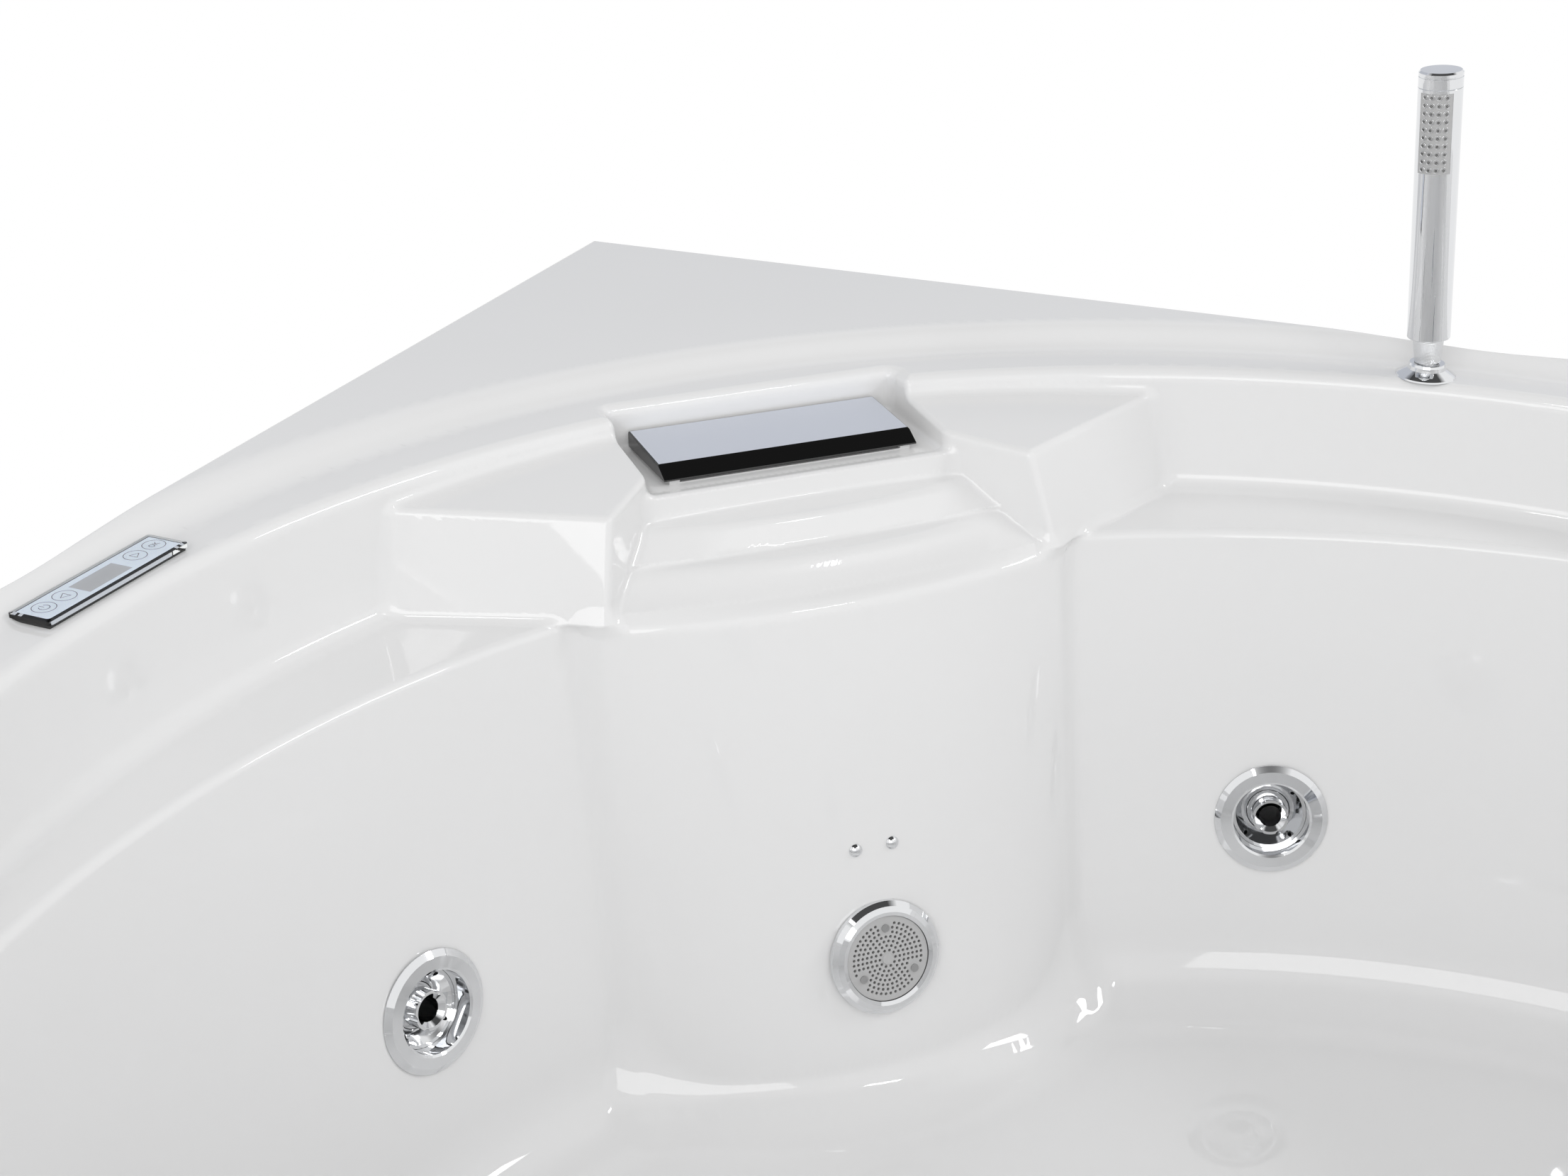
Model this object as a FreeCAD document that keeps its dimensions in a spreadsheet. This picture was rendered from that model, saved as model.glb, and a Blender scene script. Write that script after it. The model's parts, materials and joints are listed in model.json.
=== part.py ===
import FreeCAD, Part
import math
import os
import Sketcher
from FreeCAD import Matrix, Placement, Rotation, Vector

# A corner jetted bathtub.  Origin on the floor under the middle of its box, +Z up, +Y towards the
# corner of the room, millimetres.  The bath is symmetric left to right about the YZ plane.

doc = FreeCAD.newDocument("corner_jetted_bathtub")
sheet = doc.addObject("Spreadsheet::Sheet", "sizes")

DIMENSIONS = [
    # outline, deck and rim
    ("corner_reach", 825, "origin to the back corner and to the front"),
    ("wall_side", 1400, "length of each side that stands against a wall"),
    ("side_return", 350, "straight side that turns in from each wall end"),
    ("deck_height", 600, "floor to the raised deck"),
    ("deck_lip", 40, "height of the turned-down edge of the deck"),
    ("deck_thickness", 20, "raised deck with its stiffening board"),
    ("shell_thickness", 6, "acrylic with its glass-fibre backing"),
    ("rim_drop", 13, "step from the raised deck down to the rim"),
    ("rim_step_width", 12, "width of that sloping step"),
    ("rim_back_centre", -140, "Y of the centre of the step's back arc"),
    ("rim_back_radius", 680, "top radius of the step's back arc"),
    ("rim_side_radius", 690, "top radius of the step around the sides"),
    # upper well
    ("well_centre", -163, "Y of the centre of the well's back arc"),
    ("well_radius", 643, "radius of that arc at the rim"),
    ("well_draft", 9, "how far the well narrows down to the ledge"),
    ("well_corner", 340, "radius of the well's front corners"),
    ("well_sweep", 105, "half angle of the well's back arc"),
    ("well_front", -740, "Y of the well's front at the rim"),
    ("ledge_height", 504, "height of the ledge round the lower basin"),
    # lower basin
    ("basin_centre", -287, "Y of the centre of the basin's back arc"),
    ("basin_radius", 671, "radius of that arc at the ledge"),
    ("basin_floor_radius", 612, "radius of that arc at the floor"),
    ("basin_corner", 350, "radius of the basin's front corners at the ledge"),
    ("basin_floor_corner", 300, "the same at the floor"),
    ("basin_sweep", 57, "half angle of the basin's back arc"),
    ("basin_front", -712, "Y of the basin's front at the ledge"),
    ("basin_floor_front", -600, "Y of the basin's front at the floor"),
    ("basin_floor", 176, "height of the basin's floor"),
    ("floor_fillet", 50, "radius between floor and wall"),
    ("ledge_fillet", 5, "radius at the edges of the ledge"),
    # shelves, cascade and convex back panel
    ("shelf_tip_x", 144, "inner front corner of each shelf"),
    ("shelf_tip_y", 367, "inner front corner of each shelf"),
    ("shelf_tip_z", 565, "height of the shelf at that corner"),
    ("shelf_slope", 0.09, "rise of the shelf towards the corner of the room"),
    ("wing_foot_y", 342, "Y of the wing's tip at the ledge"),
    ("wing_outer_x", 330, "where the wing's face has passed the well's wall"),
    ("wing_outer_y", 448, "the same, at the shelf"),
    ("wing_outer_foot_y", 435, "the same, at the ledge"),
    ("pocket_half_width", 103, "half width of the spout's pocket"),
    ("pocket_front", 406, "Y of the pocket's open front"),
    ("pocket_back", 493, "Y of the pocket's back"),
    ("pocket_floor", 556, "height of the pocket's floor"),
    ("cascade_drop", 18, "height of one step of the cascade"),
    ("panel_half_width", 169, "half width of the convex back panel"),
    ("panel_side_top", 353, "Y of the panel's side edge at its top"),
    ("panel_side_floor", 308, "the same at the floor"),
    ("panel_mid_top", 328, "Y of the panel's middle at its top"),
    ("panel_mid_floor", 247, "the same at the floor"),
    # water jets
    ("jet_height", 307.5, "height of the jets above the ground"),
    ("jet_back_angle", 27.4, "direction of the two back jets from the basin's centre"),
    ("jet_side_angle", 50, "direction of the two side jets"),
    ("jet_front_x", 190, "X of the two front jets"),
    ("jet_flange_radius", 38, "a 76 mm flange"),
    ("jet_flange_depth", 4, "how far the flange stands proud"),
    ("jet_mouth_radius", 25.5, "radius of the flange's mouth"),
    ("jet_throat_radius", 27.5, "outer radius of the flange's throat"),
    ("jet_body_radius", 30, "outer radius of the body behind the wall"),
    ("jet_body_depth", 72, "depth of the body behind the flange"),
    ("jet_ball_radius", 16, "radius of the swivelling ball"),
    ("jet_ball_depth", 24, "depth of the ball's centre behind the flange"),
    ("jet_bore_radius", 7.5, "radius of the nozzle's bore"),
    ("jet_seat", 1.4, "flat gasket between a flange and the curved wall"),
    # suction fitting and level sensors
    ("suction_height", 275, "height of the suction fitting"),
    ("suction_radius", 37.5, "outer radius of the suction ring"),
    ("suction_cover_radius", 28, "radius of the perforated cover"),
    ("sensor_height", 346, "height of the two level sensors"),
    ("sensor_spacing", 25.4, "distance between the sensors"),
    ("sensor_radius", 4.35, "radius of a sensor's dome"),
    # waterfall spout
    ("spout_width", 176, "width of the spout's cover"),
    ("spout_back", 497, "Y of the cover's back edge"),
    # hand shower
    ("shower_x", 429, "X of the hand shower's socket"),
    ("shower_y", 341, "Y of the hand shower's socket"),
    ("shower_radius", 14.2, "radius of the stick"),
    ("shower_length", 179, "length of the stick"),
    ("shower_neck", 17, "length of the knurled neck"),
    ("socket_radius", 20, "radius of the socket's flange"),
    ("socket_height", 9, "height of the socket above the rim"),
    ("shower_lean", 4, "lean of the stick from vertical"),
    # control panel
    ("panel_x", -442, "X of the middle of the control panel"),
    ("panel_y", 335.5, "Y of the middle of the control panel"),
    ("panel_turn", 43, "turn of the control panel about Z"),
    ("panel_length", 115, "length of the glass"),
    ("panel_width", 28, "width of the glass"),
    ("panel_glass", 3.5, "thickness of the glass"),
    ("panel_case", 2, "thickness of the case under the glass"),
    # waste and overflow
    ("waste_y", -270, "Y of the waste"),
    ("waste_radius", 35, "radius of the waste's flange"),
    ("outlet_radius", 20, "radius of the waste's outlet pipe"),
    ("overflow_height", 470, "height of the overflow"),
    # support frame
    ("tube_side", 30, "side of the square frame tube"),
    ("tube_wall", 2, "wall of the frame tube"),
    ("rail_height", 90, "underside of the lower rails"),
    ("foot_radius", 25, "radius of a foot's pad"),
    ("apron_thickness", 4, "thickness of the apron"),
    ("apron_foot", 22, "gap between the ground and the apron"),
    # pump
    ("pump_x", -765, "X of the pump's shaft"),
    ("pump_height", 205, "height of the pump's shaft"),
    ("motor_radius", 58, "radius of the motor"),
    ("pipe_radius", 25, "outer radius of the suction pipe"),
    ("manifold_radius", 16, "outer radius of the water manifold"),
]
for row, (alias, value, note) in enumerate(DIMENSIONS, start=1):
    sheet.set(f"A{row}", alias)
    sheet.set(f"B{row}", str(value))
    sheet.set(f"C{row}", note)
    sheet.setAlias(f"B{row}", alias)
doc.recompute()


class Size:
    """A length with its value and the spreadsheet formula that gives it."""

    def __init__(self, value, formula):
        self.value = float(value)
        self.formula = formula

    def joined(self, other, sign, result):
        return Size(result, f"({self.formula} {sign} {as_size(other).formula})")

    def __add__(self, other):
        return self.joined(other, "+", self.value + as_size(other).value)

    def __sub__(self, other):
        return self.joined(other, "-", self.value - as_size(other).value)

    def __mul__(self, other):
        return self.joined(other, "*", self.value * as_size(other).value)

    def __truediv__(self, other):
        return self.joined(other, "/", self.value / as_size(other).value)

    def __rsub__(self, other):
        return as_size(other) - self

    def __neg__(self):
        return Size(-self.value, f"(-1 * {self.formula})")


def as_size(number):
    """A plain number as a Size, so that both kinds mix in a formula."""
    return number if isinstance(number, Size) else Size(number, repr(float(number)))


def dim(alias):
    """The named cell of the sheet."""
    return Size(sheet.get(alias), f"sizes.{alias}")


def mm(alias):
    """The named cell's plain value."""
    return float(sheet.get(alias))


pieces = []


def finish(thing, label, placement=None):
    """Give a sub-part its own label and place, and list it for export."""
    thing.Label = label
    if placement is not None:
        thing.Placement = placement
    pieces.append(thing)
    return thing


def facing(point, normal):
    """Placement whose local Z is the normal and whose local X stays level."""
    z_axis = Vector(normal).normalize()
    x_axis = Vector(0, 0, 1).cross(z_axis)
    if x_axis.Length < 1e-6:
        x_axis = Vector(1, 0, 0)
    x_axis.normalize()
    y_axis = z_axis.cross(x_axis)
    turn = Matrix(x_axis.x, y_axis.x, z_axis.x, 0, x_axis.y, y_axis.y, z_axis.y, 0,
                  x_axis.z, y_axis.z, z_axis.z, 0, 0, 0, 0, 1)
    return Placement(Vector(point), Rotation(turn))


# --- helpers that make one parametric solid each -------------------------------------------------

def origin_plane(body, role):
    """One of a body's own origin planes, found by its role."""
    return next(feature for feature in body.Origin.OriginFeatures if feature.Role == role)


def polygon_sketch(body, plane, corners):
    """A closed polygon whose every corner is tied to the sheet."""
    sketch = body.newObject("Sketcher::SketchObject", "profile")
    sketch.AttachmentSupport = (origin_plane(body, plane), "")
    sketch.MapMode = "FlatFace"
    spots = [(as_size(x), as_size(y)) for x, y in corners]
    count = len(spots)
    for index, (x, y) in enumerate(spots):
        end_x, end_y = spots[(index + 1) % count]
        start = Vector(x.value, y.value, 0)
        sketch.addGeometry(Part.LineSegment(start, Vector(end_x.value, end_y.value, 0)), False)
    for index in range(count):
        sketch.addConstraint(Sketcher.Constraint("Coincident", index, 2, (index + 1) % count, 1))
    for index, (x, y) in enumerate(spots):
        for kind, size, axis in (("DistanceX", x, -2), ("DistanceY", y, -1)):
            if size.value == 0:
                sketch.addConstraint(Sketcher.Constraint("PointOnObject", index, 1, axis))
                continue
            number = sketch.addConstraint(Sketcher.Constraint(kind, -1, 1, index, 1, size.value))
            sketch.setExpression(f"Constraints[{number}]", size.formula)
    return sketch


def turned(label, corners, placement=None):
    """A turned piece: corners are (radius, height) round its local Z axis."""
    body = doc.addObject("PartDesign::Body", label)
    sketch = polygon_sketch(body, "XZ_Plane", corners)
    spin = body.newObject("PartDesign::Revolution", "turn")
    spin.Profile = sketch
    spin.ReferenceAxis = (sketch, ["V_Axis"])
    spin.Angle = 360
    body.Tip = spin
    return finish(body, label, placement)


def pressed(label, corners, height, placement=None):
    """A plate or block: a polygon on XY padded upwards."""
    body = doc.addObject("PartDesign::Body", label)
    sketch = polygon_sketch(body, "XY_Plane", corners)
    pad = body.newObject("PartDesign::Pad", "pad")
    pad.Profile = sketch
    pad.Length = as_size(height).value
    pad.setExpression("Length", as_size(height).formula)
    body.Tip = pad
    return finish(body, label, placement)


def shaped(label, shape, placement=None):
    """A piece whose form is worked out from the sheet's values."""
    feature = doc.addObject("Part::Feature", label)
    feature.Shape = shape
    return finish(feature, label, placement)


def block(x_span, y_span, z_span):
    """A plain box between the given limits."""
    size = [span[1] - span[0] for span in (x_span, y_span, z_span)]
    return Part.makeBox(*size, Vector(x_span[0], y_span[0], z_span[0]))


def prism(points, low, high):
    """A polygon in plan, extruded from low to high."""
    wire = Part.makePolygon([Vector(x, y, low) for x, y in points + points[:1]])
    return Part.Face(wire).extrude(Vector(0, 0, high - low))


def tapered(low_points, low, high_points, high):
    """A solid between two polygons in plan at two heights."""
    rings = [Part.makePolygon([Vector(x, y, z) for x, y in points + points[:1]])
             for points, z in ((low_points, low), (high_points, high))]
    return Part.makeLoft(rings, True, True)


def mirrored(shape):
    """The shape's mirror image on the other side of the bath."""
    return shape.mirror(Vector(0, 0, 0), Vector(1, 0, 0))


def rod(start, end, radius):
    """A round bar between two points."""
    along = Vector(end) - Vector(start)
    return Part.makeCylinder(radius, along.Length, Vector(start), along)


def pipe_path(points, bend):
    """Straight runs joined by tangent arcs of one bend radius."""
    spots = [Vector(p) for p in points]
    edges, here = [], spots[0]
    for before, corner, after in zip(spots[:-2], spots[1:-1], spots[2:]):
        back = (before - corner).normalize()
        ahead = (after - corner).normalize()
        half = back.getAngle(ahead) / 2
        reach = bend / math.tan(half)
        start, end = corner + back * reach, corner + ahead * reach
        middle = corner + (back + ahead).normalize() * (bend / math.sin(half) - bend)
        edges += [Part.LineSegment(here, start).toShape(), Part.Arc(start, middle, end).toShape()]
        here = end
    edges.append(Part.LineSegment(here, spots[-1]).toShape())
    return Part.Wire(edges)


def tube(points, bend, outer, inner=0.0):
    """A round tube along straight runs and tangent arcs."""
    path = pipe_path(points, bend)
    heading = Vector(points[1]) - Vector(points[0])

    def swept(radius):
        ring = Part.Wire(Part.makeCircle(radius, Vector(points[0]), heading))
        return path.makePipeShell([ring], True, False)

    return swept(outer).cut(swept(inner)) if inner else swept(outer)


# --- bath shell ----------------------------------------------------------------------------------

def rounded_ring(back_centre, back_radius, sweep, corner, front, height):
    """Four tangent arcs: a wide back arc, two front corners and a front arc through (0, front)."""
    half = math.radians(sweep)
    corner_x = (back_radius - corner) * math.sin(half)
    corner_y = back_centre + (back_radius - corner) * math.cos(half)
    reach = -front - corner
    front_centre = (corner_x ** 2 + corner_y ** 2 - reach ** 2) / (2 * reach + 2 * corner_y)
    to_corner = Vector(corner_x, corner_y - front_centre, 0)
    front_radius = to_corner.Length + corner
    back_way = Vector(math.sin(half), math.cos(half), 0)
    front_way = Vector(to_corner).normalize()
    lift = Vector(0, 0, height)
    back_end = lift + Vector(0, back_centre, 0) + back_way * back_radius
    front_end = lift + Vector(0, front_centre, 0) + front_way * front_radius
    bend = lift + Vector(corner_x, corner_y, 0) + (back_way + front_way).normalize() * corner

    def other(point):
        return Vector(-point.x, point.y, point.z)

    arcs = [
        Part.Arc(other(back_end), Vector(0, back_centre + back_radius, height), back_end),
        Part.Arc(back_end, bend, front_end),
        Part.Arc(front_end, Vector(0, front, height), other(front_end)),
        Part.Arc(other(front_end), other(bend), other(back_end)),
    ]
    return Part.Wire([arc.toShape() for arc in arcs])


def well_solid(grow):
    """The upper well, from above the deck down to the ledge."""
    rim = mm("deck_height") - mm("rim_drop")
    rise = 20
    slope = mm("well_draft") / (rim - mm("ledge_height"))
    rings = []
    for height in (rim + rise, mm("ledge_height") - grow):
        out = grow + slope * (height - rim)
        rings.append(rounded_ring(mm("well_centre"), mm("well_radius") + out, mm("well_sweep"),
                                  mm("well_corner") + out, mm("well_front") - out, height))
    return Part.makeLoft(rings, True, True)


def basin_ring(height, grow=0.0):
    """The lower basin's section at a height."""
    top, low = mm("ledge_height"), mm("basin_floor")
    share = (height - low) / (top - low)

    def between(low_name, top_name):
        return mm(low_name) + share * (mm(top_name) - mm(low_name))

    radius = between("basin_floor_radius", "basin_radius") + grow
    corner = between("basin_floor_corner", "basin_corner") + grow
    front = between("basin_floor_front", "basin_front") - grow
    return rounded_ring(mm("basin_centre"), radius, mm("basin_sweep"), corner, front, height)


def basin_solid(grow):
    """The lower basin, with its rounded floor edge."""
    low = mm("basin_floor") - grow
    solid = Part.makeLoft([basin_ring(mm("ledge_height") + 10, grow), basin_ring(low, grow)],
                          True, True)
    edges = [edge for edge in solid.Edges if abs(edge.BoundBox.ZMax - low) < 0.01]
    return solid.makeFillet(mm("floor_fillet") + grow, edges)


def bowed_block(half_low, side_low, mid_low, low, half_top, side_top, mid_top, high, back):
    """A block with a flat back whose front bows out between its sides."""
    rings = []
    for half, side, mid, height in ((half_low, side_low, mid_low, low),
                                    (half_top, side_top, mid_top, high)):
        left, right = Vector(-half, side, height), Vector(half, side, height)
        bow = Part.Arc(left, Vector(0, mid, height), right).toShape()
        rest = Part.makePolygon([right, Vector(half, back, height), Vector(-half, back, height), left])
        rings.append(Part.Wire([bow] + rest.Edges))
    return Part.makeLoft(rings, True, True)


def shelf_and_wings():
    """The block between well and basin that carries the two shelves, before the cascade is cut."""
    ledge, tip_z = mm("ledge_height"), mm("shelf_tip_z")
    high = tip_z + 20
    reach = (high - ledge) / (tip_z - ledge)
    tip_y = mm("wing_foot_y") + reach * (mm("shelf_tip_y") - mm("wing_foot_y"))
    outer_y = mm("wing_outer_foot_y") + reach * (mm("wing_outer_y") - mm("wing_outer_foot_y"))
    far, tip_x, outer_x = mm("pocket_back") + 60, mm("shelf_tip_x"), mm("wing_outer_x")

    def plan(tip, outer):
        return [(-outer_x, outer), (-tip_x, tip), (tip_x, tip), (outer_x, outer),
                (outer_x, far), (-outer_x, far)]

    wings = tapered(plan(mm("wing_foot_y"), mm("wing_outer_foot_y")), ledge,
                    plan(tip_y, outer_y), high)
    slope, front = mm("shelf_slope"), mm("wing_foot_y") - 40
    low_edge = tip_z + slope * (front - mm("shelf_tip_y"))
    high_edge = tip_z + slope * (far - mm("shelf_tip_y"))
    above = Part.Face(Part.makePolygon([
        Vector(-outer_x, front, low_edge), Vector(-outer_x, far, high_edge),
        Vector(-outer_x, far, high + 60), Vector(-outer_x, front, high + 60),
        Vector(-outer_x, front, low_edge)])).extrude(Vector(2 * outer_x, 0, 0))
    return wings.cut(above)


CHEEK_BACK = (98, 408)
CHEEK_FRONT = (145, 354)
CHEEK_FLARE = 8


def cascade_channel():
    """The space in front of the spout, between the two slanting cheeks."""
    low, high = mm("ledge_height") - 10, mm("shelf_tip_z") + 30
    out_x = CHEEK_FRONT[0] + 20
    out_y = CHEEK_FRONT[1] - 23

    def plan(flare):
        half = [(CHEEK_BACK[0] + flare, CHEEK_BACK[1]), (CHEEK_FRONT[0] + flare, CHEEK_FRONT[1]),
                (out_x + flare, out_y)]
        return half + [(-x, y) for x, y in reversed(half)]

    return tapered(plan(0), low, plan(CHEEK_FLARE * 1.4), high)


# half width, Y at the sides and Y in the middle of each lip of the cascade, from the spout down
CASCADE_LIPS = ((104, 405, 405), (126, 379, 374), (147, 358, 346))


def cascade_steps():
    """The rounded steps that the waterfall runs over."""
    top = mm("pocket_floor") + 2
    low = mm("ledge_height") - 30
    steps = []
    for index, (half, side, mid) in enumerate(CASCADE_LIPS):
        high = top - index * mm("cascade_drop")
        step = bowed_block(half, side, mid - 0.01, low, half, side, mid - 0.01, high,
                           mm("pocket_back"))
        lip = [edge for edge in step.Edges
               if abs(edge.BoundBox.ZMin - high) < 0.01 and edge.BoundBox.YMax < side + 1]
        steps.append(step.makeFillet(5, lip))
    return steps[0].multiFuse(steps[1:])


def back_panel():
    """The convex panel below the cascade, which carries the suction fitting."""
    top, low = mm("ledge_height"), mm("basin_floor") - 20
    drop = (top - low) / (top - mm("basin_floor"))
    half = mm("panel_half_width")
    side = mm("panel_side_top") + drop * (mm("panel_side_floor") - mm("panel_side_top"))
    mid = mm("panel_mid_top") + drop * (mm("panel_mid_floor") - mm("panel_mid_top"))
    panel = bowed_block(half, side, mid, low, half, mm("panel_side_top"), mm("panel_mid_top"), top,
                        mm("pocket_back"))
    lip = [edge for edge in panel.Edges
           if abs(edge.BoundBox.ZMin - top) < 0.01 and edge.BoundBox.YMax < mm("panel_side_top") + 1]
    return panel.makeFillet(7, lip)


def hollow_behind():
    """The empty space behind shelves, cascade and panel, so that the shell stays thin there."""
    skin = mm("shell_thickness") + 1
    ledge = mm("ledge_height")
    far = mm("pocket_back") + 60
    half = mm("panel_half_width") - skin
    low = mm("basin_floor") - 20
    drop = (ledge - low) / (ledge - mm("basin_floor"))
    side = mm("panel_side_top") + drop * (mm("panel_side_floor") - mm("panel_side_top")) + skin
    mid = mm("panel_mid_top") + drop * (mm("panel_mid_floor") - mm("panel_mid_top")) + skin
    panel = bowed_block(half, side, mid, low, half, mm("panel_side_top") + skin,
                        mm("panel_mid_top") + skin, ledge - skin, far)
    wing_low = [(147, 352), (330, 443), (330, far), (104, far), (104, 414)]
    wing_high = [(147, 377), (330, 457), (330, far), (114, far), (114, 425)]
    wing = tapered(wing_low, ledge - skin, wing_high, mm("shelf_tip_z") - skin)
    under_spout = block((-97, 97), (414, far), (ledge - 30, mm("pocket_floor") - skin))
    step_tops = [mm("pocket_floor") + 2 - index * mm("cascade_drop") - skin for index in (1, 2)]
    under_steps = [block((-100, 100), (388, 420), (ledge - 30, step_tops[0])),
                   block((-112, 112), (366, 395), (ledge - 30, step_tops[1]))]
    return panel.multiFuse([wing, mirrored(wing), under_spout] + under_steps)


def outline(inset, low, high):
    """The bath's outline in plan, drawn in by a distance and extruded."""
    reach, wall, turn = mm("corner_reach"), mm("wall_side"), mm("side_return")
    root = math.sqrt(0.5)
    end_x, end_y = wall * root, reach - wall * root
    front_x, front_y = end_x - turn * root, end_y - turn * root
    straight = Part.makePolygon([Vector(front_x, front_y, low), Vector(end_x, end_y, low),
                                 Vector(0, reach, low), Vector(-end_x, end_y, low),
                                 Vector(-front_x, front_y, low)])
    front = Part.Arc(Vector(-front_x, front_y, low), Vector(0, -reach, low),
                     Vector(front_x, front_y, low)).toShape()
    wire = Part.Wire(straight.Edges + [front])
    if inset:
        wire = wire.makeOffset2D(-inset, 2)
    solid = Part.Face(wire).extrude(Vector(0, 0, high - low))
    corners = [edge for edge in solid.Edges
               if edge.BoundBox.ZLength > high - low - 0.1 and edge.BoundBox.YMax < end_y + 30]
    return solid.makeFillet(max(25 - inset, 5), corners)


def deck():
    """The flat deck with its turned-down edge."""
    top, lip = mm("deck_height"), mm("deck_height") - mm("deck_lip")
    slab = outline(0, lip, top)
    return slab.cut(outline(mm("shell_thickness"), lip - 1, top - mm("deck_thickness")))


def rim_recess():
    """What the rim's step takes out of the deck: two cones, one behind and one round the sides."""
    width, drop, rise = mm("rim_step_width"), mm("rim_drop"), 5
    foot = mm("deck_height") - drop
    flare = width * (1 + rise / drop)
    cones = []
    for radius, centre in ((mm("rim_back_radius"), mm("rim_back_centre")),
                           (mm("rim_side_radius"), mm("well_centre"))):
        cones.append(Part.makeCone(radius - width, radius - width + flare, drop + rise,
                                   Vector(0, centre, foot)))
    return cones[0].fuse(cones[1])


def cavity():
    """Everything that is open inside the bath."""
    space = well_solid(0).fuse(basin_solid(0))
    ledge = mm("ledge_height")
    rims = [edge for edge in space.Edges
            if abs(edge.BoundBox.ZMax - ledge) < 0.1 and abs(edge.BoundBox.ZMin - ledge) < 0.1]
    space = space.makeFillet(mm("ledge_fillet"), rims)
    blocks = shelf_and_wings().cut(cascade_channel())
    space = space.cut(blocks.multiFuse([cascade_steps(), back_panel()]))
    half = mm("pocket_half_width")
    pocket = block((-half, half), (mm("pocket_front") + 5, mm("pocket_back")),
                   (mm("pocket_floor"), mm("deck_height") + 20))
    return space.fuse(pocket)


def on_basin(angle, height):
    """Point and inward normal on the basin's back wall, at a direction from its centre."""
    low, top = mm("basin_floor"), mm("ledge_height")
    lean = (mm("basin_radius") - mm("basin_floor_radius")) / (top - low)
    radius = mm("basin_floor_radius") + lean * (height - low)
    turn = math.radians(angle)
    way = Vector(math.sin(turn), math.cos(turn), 0)
    point = Vector(0, mm("basin_centre"), height) + way * radius
    return point, Vector(-way.x, -way.y, lean).normalize()


def on_front(x, height):
    """Point and inward normal on the basin's front wall."""
    ring = basin_ring(height)
    front = min(ring.Edges, key=lambda edge: edge.BoundBox.YMin)
    centre, radius = front.Curve.Center, front.Curve.Radius
    point = Vector(x, centre.y - math.sqrt(radius ** 2 - x ** 2), height)
    rise = mm("ledge_height") - mm("basin_floor")
    lean = (mm("basin_floor_front") - mm("basin_front")) / rise
    return point, (Vector(centre.x - point.x, centre.y - point.y, 0).normalize()
                   + Vector(0, 0, lean)).normalize()


def on_panel(x, height):
    """Point and outward normal on the convex back panel, near its middle."""
    low, top = mm("basin_floor"), mm("ledge_height")
    share = (height - low) / (top - low)
    lean = (mm("panel_mid_top") - mm("panel_mid_floor")) / (top - low)
    mid = mm("panel_mid_floor") + share * (mm("panel_mid_top") - mm("panel_mid_floor"))
    side = mm("panel_side_floor") + share * (mm("panel_side_top") - mm("panel_side_floor"))
    half, bow = mm("panel_half_width"), side - mid
    radius = (half ** 2 + bow ** 2) / (2 * bow)
    sink = radius - math.sqrt(radius ** 2 - x ** 2)
    return Vector(x, mid + sink, height), Vector(x / radius, -1, lean).normalize()


jet_spots = [on_basin(-mm("jet_back_angle"), mm("jet_height")),
             on_basin(mm("jet_back_angle"), mm("jet_height")),
             on_basin(-mm("jet_side_angle"), mm("jet_height")),
             on_basin(mm("jet_side_angle"), mm("jet_height")),
             on_front(-mm("jet_front_x"), mm("jet_height")),
             on_front(mm("jet_front_x"), mm("jet_height"))]
jet_places = [facing(point + normal * mm("jet_seat"), normal) for point, normal in jet_spots]
suction_point, suction_normal = on_panel(0, mm("suction_height"))
SUCTION_SEAT = 2.8
suction_place = facing(suction_point + suction_normal * SUCTION_SEAT, suction_normal)
sensor_spots = [on_panel(side * mm("sensor_spacing") / 2, mm("sensor_height")) for side in (-1, 1)]
rim_height = mm("deck_height") - mm("rim_drop")
overflow_point, overflow_normal = on_front(0, mm("overflow_height"))
OVERFLOW_SEAT = 1.4
overflow_place = facing(overflow_point + overflow_normal * OVERFLOW_SEAT, overflow_normal)
to_well = Vector(-mm("shower_x"), mm("well_centre") - mm("shower_y"), 0)
socket_turn = math.degrees(math.atan2(to_well.y, to_well.x)) - 30
socket_place = Placement(Vector(mm("shower_x"), mm("shower_y"), rim_height),
                         Rotation(Vector(0, 0, 1), socket_turn))
panel_place = Placement(Vector(mm("panel_x"), mm("panel_y"), rim_height),
                        Rotation(Vector(0, 0, 1), mm("panel_turn")))

HOLE_DEPTH = 30
SUCTION_HOLE = 29
SENSOR_HOLE = 3
WASTE_HOLE = 27
OVERFLOW_HOLE = 26
SOCKET_HOLE = 11.5
PANEL_HOLE = 5
shank_place = panel_place.multiply(Placement(Vector(0, 4, 0), Rotation()))


def bore(placement, radius, depth=HOLE_DEPTH):
    """A round hole through the shell, centred on a placement."""
    hole = Part.makeCylinder(radius, 2 * depth, Vector(0, 0, -depth))
    hole.Placement = placement
    return hole


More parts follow.
